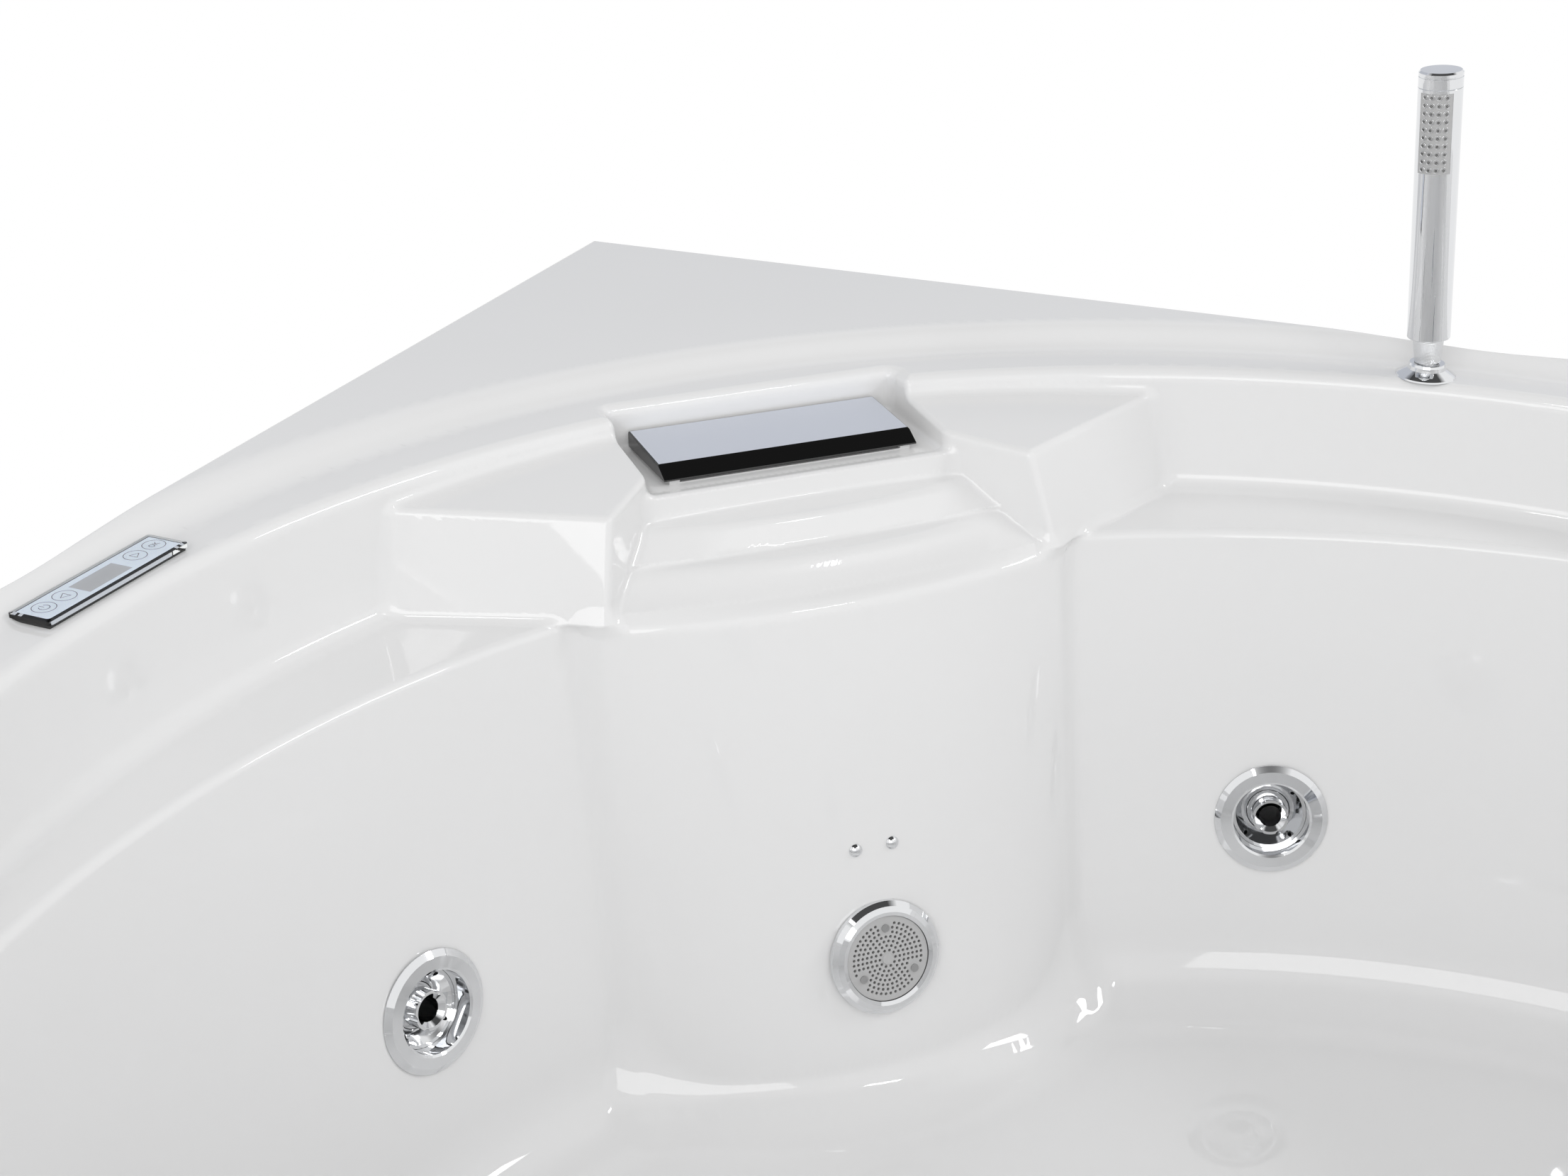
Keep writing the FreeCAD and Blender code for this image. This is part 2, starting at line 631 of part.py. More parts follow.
def bath_shell():
    """The one-piece acrylic bath."""
    skin = mm("shell_thickness")
    half, floor = mm("pocket_half_width") + skin, mm("pocket_floor") - skin
    body = well_solid(skin).fuse(basin_solid(skin)).cut(hollow_behind())
    body = body.fuse(block((-half, half), (440, mm("pocket_back") + skin), (floor, rim_height - 2)))
    top = mm("deck_height")
    body = body.cut(block((-1000, 1000), (-1000, 1000), (rim_height - 1, top + 40)))
    shell = deck().fuse(body).cut(rim_recess()).cut(cavity())
    holes = [bore(place, mm("jet_body_radius") + 0.5) for place in jet_places]
    holes.append(bore(suction_place, SUCTION_HOLE + 0.5))
    holes += [bore(facing(point, normal), SENSOR_HOLE + 0.2) for point, normal in sensor_spots]
    holes.append(bore(Placement(Vector(0, mm("waste_y"), mm("basin_floor")), Rotation()),
                      WASTE_HOLE + 0.5))
    holes.append(bore(overflow_place, OVERFLOW_HOLE + 0.5))
    holes.append(bore(socket_place, SOCKET_HOLE + 0.5))
    holes.append(bore(shank_place, PANEL_HOLE + 0.5))
    holes.append(block((-80.5, 80.5), (436, 476), (floor - 5, floor + 20)))
    return shell.cut(holes[0].multiFuse(holes[1:]))


shaped("bath_shell", bath_shell())


# --- support frame, feet and apron ---------------------------------------------------------------

def square_tube(start, end):
    """A hollow square tube whose axis runs level from start to end."""
    side, wall = mm("tube_side"), mm("tube_wall")
    along = Vector(end) - Vector(start)
    outer = Part.makeBox(along.Length, side, side, Vector(0, -side / 2, -side / 2))
    gap = side - 2 * wall
    inner = Part.makeBox(along.Length, gap, gap, Vector(0, -gap / 2, -gap / 2))
    bar = outer.cut(inner)
    bar.Placement = Placement(Vector(start), Rotation(Vector(1, 0, 0), along))
    return bar


def post(x, y, low):
    """An upright square tube from a rail to the underside of the deck."""
    side, wall = mm("tube_side"), mm("tube_wall")
    high = mm("deck_height") - mm("deck_thickness")
    outer = block((x - side / 2, x + side / 2), (y - side / 2, y + side / 2), (low, high))
    gap = side / 2 - wall
    return outer.cut(block((x - gap, x + gap), (y - gap, y + gap), (low, high)))


def both_sides(shape):
    """A shape together with its mirror image, as separate solids."""
    return Part.makeCompound([shape, mirrored(shape)])


LOW_RAIL = mm("rail_height") + mm("tube_side") / 2
HIGH_RAIL = LOW_RAIL + mm("tube_side")
WALL_RAIL_BACK = mm("corner_reach") - 45 * math.sqrt(2)
WALL_END_X = 936
CORNER_POST = (905, -165)
FRONT_POST = (690, -400)
BACK_POST = (0, 748)
CENTRE_RAIL_X = 220


def wall_rail():
    """The right-hand rail, parallel to the wall and mitred at the back corner."""
    start = Vector(-20, WALL_RAIL_BACK + 20, LOW_RAIL)
    end = Vector(WALL_END_X, WALL_RAIL_BACK - WALL_END_X, LOW_RAIL)
    return square_tube(start, end).common(block((0, 1200), (-500, 900), (0, 300)))


rail_face = WALL_RAIL_BACK - mm("tube_side") / 2 * math.sqrt(2)
return_line = FRONT_POST[0] - FRONT_POST[1]
return_start = Vector((rail_face + return_line) / 2, (rail_face - return_line) / 2, LOW_RAIL)
shaped("wall_rails", both_sides(wall_rail()))
shaped("return_rails", both_sides(square_tube(return_start, Vector(*FRONT_POST, LOW_RAIL))))
shaped("centre_rails", both_sides(square_tube(Vector(CENTRE_RAIL_X, 500, LOW_RAIL),
                                              Vector(CENTRE_RAIL_X, -775, LOW_RAIL))))
shaped("cross_rails", Part.makeCompound([
    square_tube(Vector(-515, 250, HIGH_RAIL), Vector(515, 250, HIGH_RAIL)),
    square_tube(Vector(-705, FRONT_POST[1], HIGH_RAIL), Vector(705, FRONT_POST[1], HIGH_RAIL))]))
low_top, high_top = LOW_RAIL + mm("tube_side") / 2, HIGH_RAIL + mm("tube_side") / 2
shaped("frame_posts", Part.makeCompound([
    post(*BACK_POST, low_top),
    post(*CORNER_POST, low_top), post(-CORNER_POST[0], CORNER_POST[1], low_top),
    post(*FRONT_POST, high_top), post(-FRONT_POST[0], FRONT_POST[1], high_top)]))

FOOT_SPOTS = [(0, WALL_RAIL_BACK - 8), (900, WALL_RAIL_BACK - 900), (-900, WALL_RAIL_BACK - 900),
              (697, -392), (-697, -392), (CENTRE_RAIL_X, -740), (-CENTRE_RAIL_X, -740)]
STUD_RADIUS = 6


def foot():
    """A levelling foot: a pad with a threaded stud up to the rail."""
    radius, top = mm("foot_radius"), mm("rail_height")
    pad = Part.makeCylinder(radius, 8).fuse(Part.makeCone(radius, 10, 8, Vector(0, 0, 8)))
    return pad.fuse(Part.makeCylinder(STUD_RADIUS, top, Vector(0, 0, 0))).removeSplitter()


def hexagon_nut(across, thickness, hole, base):
    """A hexagon nut standing on a height."""
    corner = across / math.sqrt(3)
    points = [(corner * math.cos(math.radians(60 * k)), corner * math.sin(math.radians(60 * k)))
              for k in range(6)]
    nut = prism(points, base, base + thickness)
    return nut.cut(Part.makeCylinder(hole, 3 * thickness, Vector(0, 0, base - thickness)))


def at_spots(shape, spots):
    """Copies of a shape at points in plan, as separate solids."""
    copies = []
    for x, y in spots:
        copy = shape.copy()
        copy.translate(Vector(x, y, 0))
        copies.append(copy)
    return Part.makeCompound(copies)


shaped("levelling_feet", at_spots(foot(), FOOT_SPOTS))
shaped("foot_lock_nuts", at_spots(hexagon_nut(19, 10, STUD_RADIUS + 0.05, 79), FOOT_SPOTS))

BOARD_HALF = 330
BOARD_FRONT, BOARD_BACK = -480, 262
BOARD_HOLE = 45
board = block((-BOARD_HALF, BOARD_HALF), (BOARD_FRONT, BOARD_BACK),
              (high_top, mm("basin_floor") - mm("shell_thickness")))
board = board.cut(Part.makeCylinder(BOARD_HOLE, 200, Vector(0, mm("waste_y"), 50)))
shaped("base_board", board)

APRON_INSET = 3
APRON_WALL_GAP = 20
APRON_FLANGE = 12


def apron():
    """The curved front panel with its two side returns."""
    low, high = mm("apron_foot"), mm("deck_height") - mm("deck_lip") - 2
    inner = APRON_INSET + mm("apron_thickness")
    skin = outline(APRON_INSET, low, high).cut(outline(inner, low - 1, high + 1))
    flange = outline(inner, low, low + mm("apron_thickness")).cut(
        outline(inner + APRON_FLANGE, low - 1, high))
    panel = skin.fuse(flange)
    edge = mm("corner_reach") - APRON_WALL_GAP * math.sqrt(2)
    walls = prism([(0, edge), (-1400, edge - 1400), (-1400, 1400), (1400, 1400),
                   (1400, edge - 1400)], low - 1, high + 1)
    return panel.cut(walls)


shaped("apron_panel", apron())

BRACKET_HALF = 12


def return_bracket():
    """A catch between a return rail and the apron."""
    reach = 23.5
    piece = block((mm("tube_side") / 2, mm("tube_side") / 2 + reach), (-BRACKET_HALF, BRACKET_HALF),
                  (LOW_RAIL - BRACKET_HALF, LOW_RAIL + BRACKET_HALF))
    middle = (return_start + Vector(*FRONT_POST, LOW_RAIL)) * 0.5
    piece.Placement = Placement(Vector(middle.x, middle.y, 0), Rotation(Vector(0, 0, 1), -45))
    return piece


front_bracket = block((CENTRE_RAIL_X - BRACKET_HALF, CENTRE_RAIL_X + BRACKET_HALF),
                      (-785.8, -775), (LOW_RAIL - BRACKET_HALF, LOW_RAIL + BRACKET_HALF))
shaped("apron_catches", Part.makeCompound([both_sides(return_bracket()),
                                           both_sides(front_bracket)]))


# --- waterfall spout -----------------------------------------------------------------------------

def side_profile(points, half_width):
    """A profile in the YZ plane, extruded across the bath."""
    spots = [Vector(-half_width, y, z) for y, z in points]
    face = Part.Face(Part.makePolygon(spots + spots[:1]))
    return face.extrude(Vector(2 * half_width, 0, 0))


def spout_cover():
    """The chromed cover: a flat top, a bevelled front and a hollow underside."""
    half, back = mm("spout_width") / 2, mm("spout_back") - 6
    solid = side_profile([(back, 569.5), (434.7, 566.6), (422.3, 560), (422.3, 559), (back, 559)],
                         half)
    edges = [edge for edge in solid.Edges if edge.BoundBox.ZMin > 560.5]
    solid = solid.makeFillet(1.2, edges)
    hollow = side_profile([(back - 3, 565), (437, 563.5), (430, 560), (430, 558), (back - 3, 558)],
                          half - 3)
    return solid.cut(hollow)


def spout_body():
    """The water box under the cover, with its slot along the front and a threaded inlet below."""
    floor = mm("pocket_floor")
    rim = block((-84, 84), (424, 488), (floor, 558.8))
    tank = block((-80, 80), (436.5, 475.5), (510, floor))
    inlet = Part.makeCylinder(10.5, 40, Vector(0, 456, 472))
    hollow = block((-77, 77), (439.5, 472.5), (513, 560)).fuse(
        block((-77, 77), (423, 445), (floor + 0.8, 560)))
    bore_through = Part.makeCylinder(7.5, 60, Vector(0, 456, 460))
    return rim.multiFuse([tank, inlet]).cut(hollow.fuse(bore_through))


shaped("waterfall_cover", spout_cover())
shaped("waterfall_body", spout_body())


# --- water jets ----------------------------------------------------------------------------------

flange, depth = dim("jet_flange_radius"), dim("jet_flange_depth")
mouth, throat = dim("jet_mouth_radius"), dim("jet_throat_radius")
ball, ball_depth, jet_bore = dim("jet_ball_radius"), dim("jet_ball_depth"), dim("jet_bore_radius")
THROAT_DEPTH = 10


def jet_flange(label, placement):
    """The chromed flange with its short throat."""
    return turned(label, [(mouth + 1.5, depth), (flange - 4, depth - 0.8), (flange, 0.6),
                          (flange, 0), (throat, 0), (throat, -THROAT_DEPTH),
                          (mouth - 0.5, -THROAT_DEPTH), (mouth, depth - 1)], placement)


def jet_nozzle(label, placement):
    """The swivelling ball with its bore and the scalloped collar that a finger turns."""
    centre = -mm("jet_ball_depth")
    solid = Part.makeSphere(mm("jet_ball_radius"), Vector(0, 0, centre))
    collar = Part.makeCylinder(12.2, 12, Vector(0, 0, centre + 10))
    for step in range(6):
        turn = math.radians(60 * step)
        scoop = Part.makeCylinder(3, 16, Vector(14 * math.cos(turn), 14 * math.sin(turn),
                                                centre + 14))
        collar = collar.cut(scoop)
    solid = solid.fuse(collar)
    solid = solid.cut(Part.makeCylinder(mm("jet_bore_radius"), 60, Vector(0, 0, centre - 30)))
    mouth_flare = Part.makeCone(mm("jet_bore_radius"), mm("jet_bore_radius") + 3, 3.1,
                                Vector(0, 0, centre + 19))
    return shaped(label, solid.cut(mouth_flare), placement)


def jet_body_shape():
    """The body behind the wall: a cup with the ball's seat and a closed back."""
    radius, deep = mm("jet_body_radius"), mm("jet_body_depth")
    cup = Part.makeCylinder(radius, deep - THROAT_DEPTH, Vector(0, 0, -deep))
    front = Part.makeCylinder(mm("jet_mouth_radius") + 2.5, 60, Vector(0, 0, -30))
    seat = Part.makeCylinder(mm("jet_ball_radius") + 1.5, 60, Vector(0, 0, -38))
    chamber = Part.makeCylinder(12, 60, Vector(0, 0, 8 - deep))
    return cup.cut(front.multiFuse([seat, chamber]))


def jet_ring_shape():
    """The dished ring that keeps the ball in its seat."""
    outer = Part.makeCylinder(mm("jet_mouth_radius") - 0.6, 7, Vector(0, 0, -17))
    dish = Part.makeCone(14.8, mm("jet_mouth_radius") - 1.2, 8.5, Vector(0, 0, -17))
    hole = Part.makeCylinder(14.8, 20, Vector(0, 0, -25))
    ring = outer.cut(dish).cut(hole)
    for step in range(4):
        turn = math.radians(45 + 90 * step)
        spot = Vector(21 * math.cos(turn), 21 * math.sin(turn), -20)
        ring = ring.cut(Part.makeCylinder(1.3, 20, spot))
    return ring


def placed_copies(shape, placements):
    """One copy of a shape at each placement, as separate solids."""
    copies = []
    for placement in placements:
        copy = shape.copy()
        copy.Placement = placement
        copies.append(copy)
    return Part.makeCompound(copies)


JET_NAMES = ("back_left", "back_right", "side_left", "side_right", "front_left", "front_right")
for name, place in zip(JET_NAMES, jet_places):
    jet_flange(f"jet_flange_{name}", place)
    jet_nozzle(f"jet_nozzle_{name}", place)
shaped("jet_bodies", placed_copies(jet_body_shape(), jet_places))
shaped("jet_retaining_rings", placed_copies(jet_ring_shape(), jet_places))
jet_nut = Part.makeCylinder(43, 9, Vector(0, 0, -20)).cut(
    Part.makeCylinder(mm("jet_body_radius") + 0.1, 40, Vector(0, 0, -40)))
shaped("jet_lock_nuts", placed_copies(jet_nut, jet_places))


# --- suction fitting and level sensors -----------------------------------------------------------

suction, cover = dim("suction_radius"), dim("suction_cover_radius")
SUCTION_DEPTH = 48
turned("suction_ring", [(cover + 0.4, 4.2), (cover + 3, 5), (suction - 3, 3.6), (suction, 0.8),
                        (suction, -SUCTION_SEAT + 0.2), (SUCTION_HOLE + 1, -SUCTION_SEAT + 0.2),
                        (SUCTION_HOLE + 1, 0), (cover + 0.4, 0)], suction_place)

HOLE_ROWS = ((5.5, 10), (8.5, 16), (11.5, 22), (14.5, 28), (17.5, 34), (20.5, 38), (23.5, 44))
SCREW_RADIUS = 20.5
SCREW_ANGLES = (90, 210, 330)


def suction_cover():
    """The perforated cover with a plain boss in its middle."""
    radius = mm("suction_cover_radius")
    plate = Part.makeCylinder(radius, 3, Vector(0, 0, 0.4))
    boss = Part.makeCone(4.2, 3.6, 0.8, Vector(0, 0, 3.4))
    drills = []
    for row, count in HOLE_ROWS:
        for step in range(count):
            turn = 2 * math.pi * step / count
            near_screw = row > 16 and min(
                abs((math.degrees(turn) - angle + 180) % 360 - 180) for angle in SCREW_ANGLES) < 12
            if not near_screw:
                drills.append(Part.makeCylinder(0.95, 8, Vector(row * math.cos(turn),
                                                                row * math.sin(turn), -2)))
    for angle in SCREW_ANGLES:
        turn = math.radians(angle)
        drills.append(Part.makeCylinder(1.8, 8, Vector(SCREW_RADIUS * math.cos(turn),
                                                       SCREW_RADIUS * math.sin(turn), -2)))
    return plate.fuse(boss).cut(Part.makeCompound(drills))


def suction_screw():
    """One countersunk screw of the cover."""
    return Part.makeCylinder(1.7, 12.5, Vector(0, 0, -9)).fuse(
        Part.makeCylinder(2.6, 1, Vector(0, 0, 3.45)))


def suction_body():
    """The cup behind the panel, with its outlet at the back."""
    hole = SUCTION_HOLE
    cup = Part.makeCylinder(hole, SUCTION_DEPTH, Vector(0, 0, -SUCTION_DEPTH))
    cup = cup.fuse(Part.makeCylinder(40, 6, Vector(0, 0, -20)))
    hollow = Part.makeCylinder(hole - 3, SUCTION_DEPTH - 4, Vector(0, 0, 4 - SUCTION_DEPTH))
    outlet = Part.makeCylinder(mm("pipe_radius") - 3, 30, Vector(0, 0, -SUCTION_DEPTH - 10))
    cup = cup.cut(hollow.fuse(outlet))
    posts = []
    for angle in SCREW_ANGLES:
        turn = math.radians(angle)
        spot = Vector(SCREW_RADIUS * math.cos(turn), SCREW_RADIUS * math.sin(turn), -SUCTION_DEPTH)
        posts.append(Part.makeCylinder(4.5, SUCTION_DEPTH, spot))
    shape = cup.multiFuse(posts)
    return shape.cut(Part.makeCompound(screws_at_cover()))


def screws_at_cover():
    """The three screws in the cover's own frame."""
    screws = []
    for angle in SCREW_ANGLES:
        turn = math.radians(angle)
        screw = suction_screw()
        screw.translate(Vector(SCREW_RADIUS * math.cos(turn), SCREW_RADIUS * math.sin(turn), 0))
        screws.append(screw)
    return screws


shaped("suction_cover", suction_cover(), suction_place)
shaped("suction_body", suction_body(), suction_place)
shaped("suction_screws", Part.makeCompound(screws_at_cover()), suction_place)

sensor = dim("sensor_radius")


def sensor_shape():
    """A domed stud with its shank through the wall."""
    radius = mm("sensor_radius")
    dome = Part.makeSphere(radius * 1.15, Vector(0, 0, 0.3 - radius * 0.55)).common(
        Part.makeCylinder(radius, 10, Vector(0, 0, 0.25)))
    return dome.fuse(Part.makeCylinder(SENSOR_HOLE, 22, Vector(0, 0, -21.7)))


shaped("level_sensors", placed_copies(sensor_shape(), [facing(*spot) for spot in sensor_spots]))


# --- hand shower ---------------------------------------------------------------------------------

socket, socket_top = dim("socket_radius"), dim("socket_height")
SPIGOT_BORE = 7.6
turned("shower_socket", [(SPIGOT_BORE, socket_top), (11.5, socket_top), (12.2, socket_top - 1.5),
                         (12.6, socket_top - 4), (socket - 3.5, socket_top - 6.2),
                         (socket - 0.6, 1), (socket, 0), (SOCKET_HOLE, 0), (SOCKET_HOLE, -45),
                         (SPIGOT_BORE, -45)], socket_place)
shaped("shower_socket_nut", hexagon_nut(26, 10, SOCKET_HOLE + 0.05, -17.2), socket_place)

VIEW_TURN = 22.7
lean_way = Vector(-math.cos(math.radians(VIEW_TURN)), math.sin(math.radians(VIEW_TURN)), 0)
shower_axis = (Vector(0, 0, 1) + lean_way * math.tan(math.radians(mm("shower_lean")))).normalize()
window_way = Vector(-0.745, -0.667, 0)
window_way = (window_way - shower_axis * window_way.dot(shower_axis)).normalize()
side_way = shower_axis.cross(window_way)
stick_turn = Matrix(window_way.x, side_way.x, shower_axis.x, 0,
                    window_way.y, side_way.y, shower_axis.y, 0,
                    window_way.z, side_way.z, shower_axis.z, 0, 0, 0, 0, 1)
shower_base = Vector(mm("shower_x"), mm("shower_y"), rim_height + mm("socket_height") + 1)
stick_place = Placement(shower_base, Rotation(stick_turn))

stick, neck = dim("shower_radius"), dim("shower_neck")
stick_top = neck + dim("shower_length")
CAP_HEIGHT = 11
turned("shower_neck", [(6.5, -11), (6.5, 0), (8.6, 0), (10.2, neck - 2), (10.2, neck), (4, neck),
                       (4, -11)], stick_place)
turned("shower_cap", [(0, stick_top), (stick - 1.2, stick_top), (stick, stick_top - 1.2),
                      (stick, stick_top - 3), (stick - 0.5, stick_top - 3.3),
                      (stick - 0.5, stick_top - 3.8), (stick, stick_top - 4.1),
                      (stick, stick_top - CAP_HEIGHT + 0.6), (stick - 0.5, stick_top - CAP_HEIGHT),
                      (0, stick_top - CAP_HEIGHT)], stick_place)

WINDOW_HALF_ANGLE = 46
WINDOW_HEIGHT = 52
WINDOW_BELOW_TOP = 65
NOZZLE_ROWS, NOZZLE_COLUMNS = 10, 4
NOZZLE_TURN = 19


def window_wedge(low, high, half_angle):
    """A wedge from the stick's axis out through its spray window."""
    far = 30
    turn = math.radians(half_angle)
    points = [(0, 0), (far * math.cos(turn), -far * math.sin(turn)), (2 * far, 0),
              (far * math.cos(turn), far * math.sin(turn))]
    return prism(points, low, high)


def shower_handle():
    """The hollow stick with its spray window cut out."""
    radius, low = mm("shower_radius"), mm("shower_neck")
    high = low + mm("shower_length") - CAP_HEIGHT
    shell = Part.makeCylinder(radius, high - low, Vector(0, 0, low))
    shell = shell.makeFillet(1, [edge for edge in shell.Edges if edge.BoundBox.ZMax < low + 0.1])
    hollow = Part.makeCylinder(radius - 2, high - low - 3, Vector(0, 0, low + 3))
    top = low + mm("shower_length") - WINDOW_BELOW_TOP + WINDOW_HEIGHT
    wedge = window_wedge(top - WINDOW_HEIGHT, top, WINDOW_HALF_ANGLE)
    return shell.cut(hollow).cut(wedge).cut(Part.makeCylinder(4, 10, Vector(0, 0, low - 1)))


def spray_plate():
    """The curved spray plate with its rows of nozzle tips."""
    radius, low = mm("shower_radius"), mm("shower_neck")
    top = low + mm("shower_length") - WINDOW_BELOW_TOP + WINDOW_HEIGHT
    base = top - WINDOW_HEIGHT
    ring = Part.makeCylinder(radius - 0.2, WINDOW_HEIGHT, Vector(0, 0, base)).cut(
        Part.makeCylinder(radius - 2.2, WINDOW_HEIGHT, Vector(0, 0, base)))
    plate = ring.common(window_wedge(base, top, WINDOW_HALF_ANGLE))
    tips = []
    for row in range(NOZZLE_ROWS):
        height = base + WINDOW_HEIGHT * (row + 0.5) / NOZZLE_ROWS
        for column in range(NOZZLE_COLUMNS):
            turn = math.radians((column - (NOZZLE_COLUMNS - 1) / 2) * NOZZLE_TURN)
            way = Vector(math.cos(turn), math.sin(turn), 0)
            start = way * (radius - 1) + Vector(0, 0, height)
            tips.append(Part.makeCone(1.5, 1.0, 1.6, start, way))
    return plate.multiFuse(tips)


shaped("shower_handle", shower_handle(), stick_place)
shaped("shower_spray_plate", spray_plate(), stick_place)


# --- control panel -------------------------------------------------------------------------------

def corners(length, width):
    """The corners of a rectangle centred on the origin."""
    half_l, half_w = as_size(length) / 2, as_size(width) / 2
    return [(-half_l, -half_w), (half_l, -half_w), (half_l, half_w), (-half_l, half_w)]


def raised(placement, height):
    """The placement moved up its own Z axis."""
    return placement.multiply(Placement(Vector(0, 0, height), Rotation()))


DISPLAY = (36, 15, 1.2)
pressed("control_glass", corners(dim("panel_length"), dim("panel_width")), dim("panel_glass"),
        raised(panel_place, mm("panel_case")))


def control_case():
    """The case under the glass, with its cable shank through the rim."""
    length, width, high = mm("panel_length") - 3, mm("panel_width") - 3, mm("panel_case")
    case = block((-length / 2, length / 2), (-width / 2, width / 2), (0, high))
    recess = block((-DISPLAY[0] / 2, DISPLAY[0] / 2), (-DISPLAY[1] / 2, DISPLAY[1] / 2),
                   (high - DISPLAY[2], high + 1))
    shank = Part.makeCylinder(PANEL_HOLE, 36, Vector(0, 4, -36))
    return case.cut(recess).fuse(shank).cut(Part.makeCylinder(3, 34, Vector(0, 4, -36.5)))


shaped("control_case", control_case(), panel_place)
pressed("control_display", corners(DISPLAY[0], DISPLAY[1]), DISPLAY[2],
        raised(panel_place, mm("panel_case") - DISPLAY[2]))
shaped("control_nut", hexagon_nut(17, 8, PANEL_HOLE + 0.05, -15.2), shank_place)


# --- waste and overflow --------------------------------------------------------------------------

waste_place = Placement(Vector(0, mm("waste_y"), mm("basin_floor")), Rotation())
waste = dim("waste_radius")
turned("waste_flange", [(WASTE_HOLE - 4, 0.6), (waste - 4, 2.4), (waste, 0.6), (waste, 0.05),
                        (WASTE_HOLE, 0.05), (WASTE_HOLE, -40), (WASTE_HOLE - 3, -40),
                        (WASTE_HOLE - 3, -6), (WASTE_HOLE - 5, -3)], waste_place)
PLUG_STEM = 4
turned("waste_plug", [(0, 8), (14, 7.4), (25, 5.2), (28.5, 3), (28.5, 2.6), (PLUG_STEM, 2.6),
                      (PLUG_STEM, -55), (0, -55)], waste_place)

TRAP_RADIUS = 32
TRAP_BOTTOM, TRAP_TOP = 34, 170
OUTLET_HEIGHT = 62
OUTLET_END = 330
SPIGOT_LENGTH = 50


def waste_trap():
    """The trap under the bath with its outlet pipe towards the corner of the room."""
    y = mm("waste_y")
    cup = Part.makeCylinder(TRAP_RADIUS, TRAP_TOP - TRAP_BOTTOM, Vector(0, y, TRAP_BOTTOM))
    collar = Part.makeCylinder(40, 8, Vector(0, y, TRAP_TOP - 8))
    start = Vector(0, y, OUTLET_HEIGHT)
    pipe = rod(start, Vector(0, OUTLET_END, OUTLET_HEIGHT), mm("outlet_radius")).fuse(
        rod(start, Vector(0, OUTLET_END - SPIGOT_LENGTH, OUTLET_HEIGHT), mm("outlet_radius") + 2))
    hollow = Part.makeCylinder(TRAP_RADIUS - 4, TRAP_TOP - TRAP_BOTTOM, Vector(0, y, TRAP_BOTTOM + 4))
    way = rod(start, Vector(0, OUTLET_END + 1, OUTLET_HEIGHT), mm("outlet_radius") - 3)
    return cup.multiFuse([collar, pipe]).cut(hollow.fuse(way))


shaped("waste_trap", waste_trap())

turned("overflow_face", [(27, 6), (33, 5), (35, 2.5), (35, 0), (OVERFLOW_HOLE, 0),
                         (OVERFLOW_HOLE, -12), (OVERFLOW_HOLE - 3, -12), (OVERFLOW_HOLE - 3, 2),
                         (27, 4)], overflow_place)
turned("overflow_knob", [(0, 17), (20, 17), (22, 15), (22, 8), (19, 7), (5, 7), (5, -10),
                         (0, -10)], overflow_place)

OVERFLOW_PIPE = 14


def overflow_pipe():
    """The overflow's body behind the wall and its pipe down to the trap."""
    body = Part.makeCylinder(30, 26, Vector(0, 0, -38)).cut(
        Part.makeCylinder(27, 22, Vector(0, 0, -34)))
    body.Placement = overflow_place
    start = overflow_place.multVec(Vector(0, 0, -36))
    down_y = -762
    way = overflow_place.multVec(Vector(0, 0, -1)) - overflow_place.Base
    turn_point = start + way * ((down_y - start.y) / way.y)
    route = [start, turn_point, Vector(0, down_y, 103),
             Vector(0, mm("waste_y") - TRAP_RADIUS + 1, 103)]
    pipe = tube(route, 22, OVERFLOW_PIPE)
    trap = Part.makeCylinder(TRAP_RADIUS, 200, Vector(0, mm("waste_y"), 0))
    hollow = tube(route, 22, OVERFLOW_PIPE - 2.5)
    return body.fuse(pipe).cut(hollow).cut(trap)


shaped("overflow_pipe", overflow_pipe())


# --- pump and pipes ------------------------------------------------------------------------------

pump_place = Placement(Vector(mm("pump_x"), -65, mm("pump_height")),
                       Rotation(Vector(1, 0, 0), -90))
SHAFT = 7
VOLUTE_RADIUS = 68
VOLUTE_BACK, VOLUTE_FRONT = -32, 28
MOTOR_BACK = -228


def motor():
    """The motor with its cooling fins, end bell and terminal box; its axis is the local Z."""
    radius = mm("motor_radius")
    core = Part.makeCylinder(radius - 6, VOLUTE_BACK - MOTOR_BACK - 12,
                             Vector(0, 0, MOTOR_BACK + 12))
    bell = Part.makeCone(radius - 16, radius - 2, 22, Vector(0, 0, MOTOR_BACK))
    parts = [bell]
    for step in range(36):
        turn = 10 * step
        fin = Part.makeBox(7, 2.4, 120, Vector(radius - 8, -1.2, MOTOR_BACK + 26))
        fin.rotate(Vector(0, 0, 0), Vector(0, 0, 1), turn)
        parts.append(fin)
    parts.append(Part.makeCylinder(radius, 14, Vector(0, 0, VOLUTE_BACK - 14)))
    parts.append(block((-32, 32), (-radius - 26, -radius + 10), (-150, -80)))
    bore_hole = Part.makeCylinder(SHAFT + 0.05, 62, Vector(0, 0, VOLUTE_BACK - 61))
    return core.multiFuse(parts).cut(bore_hole)


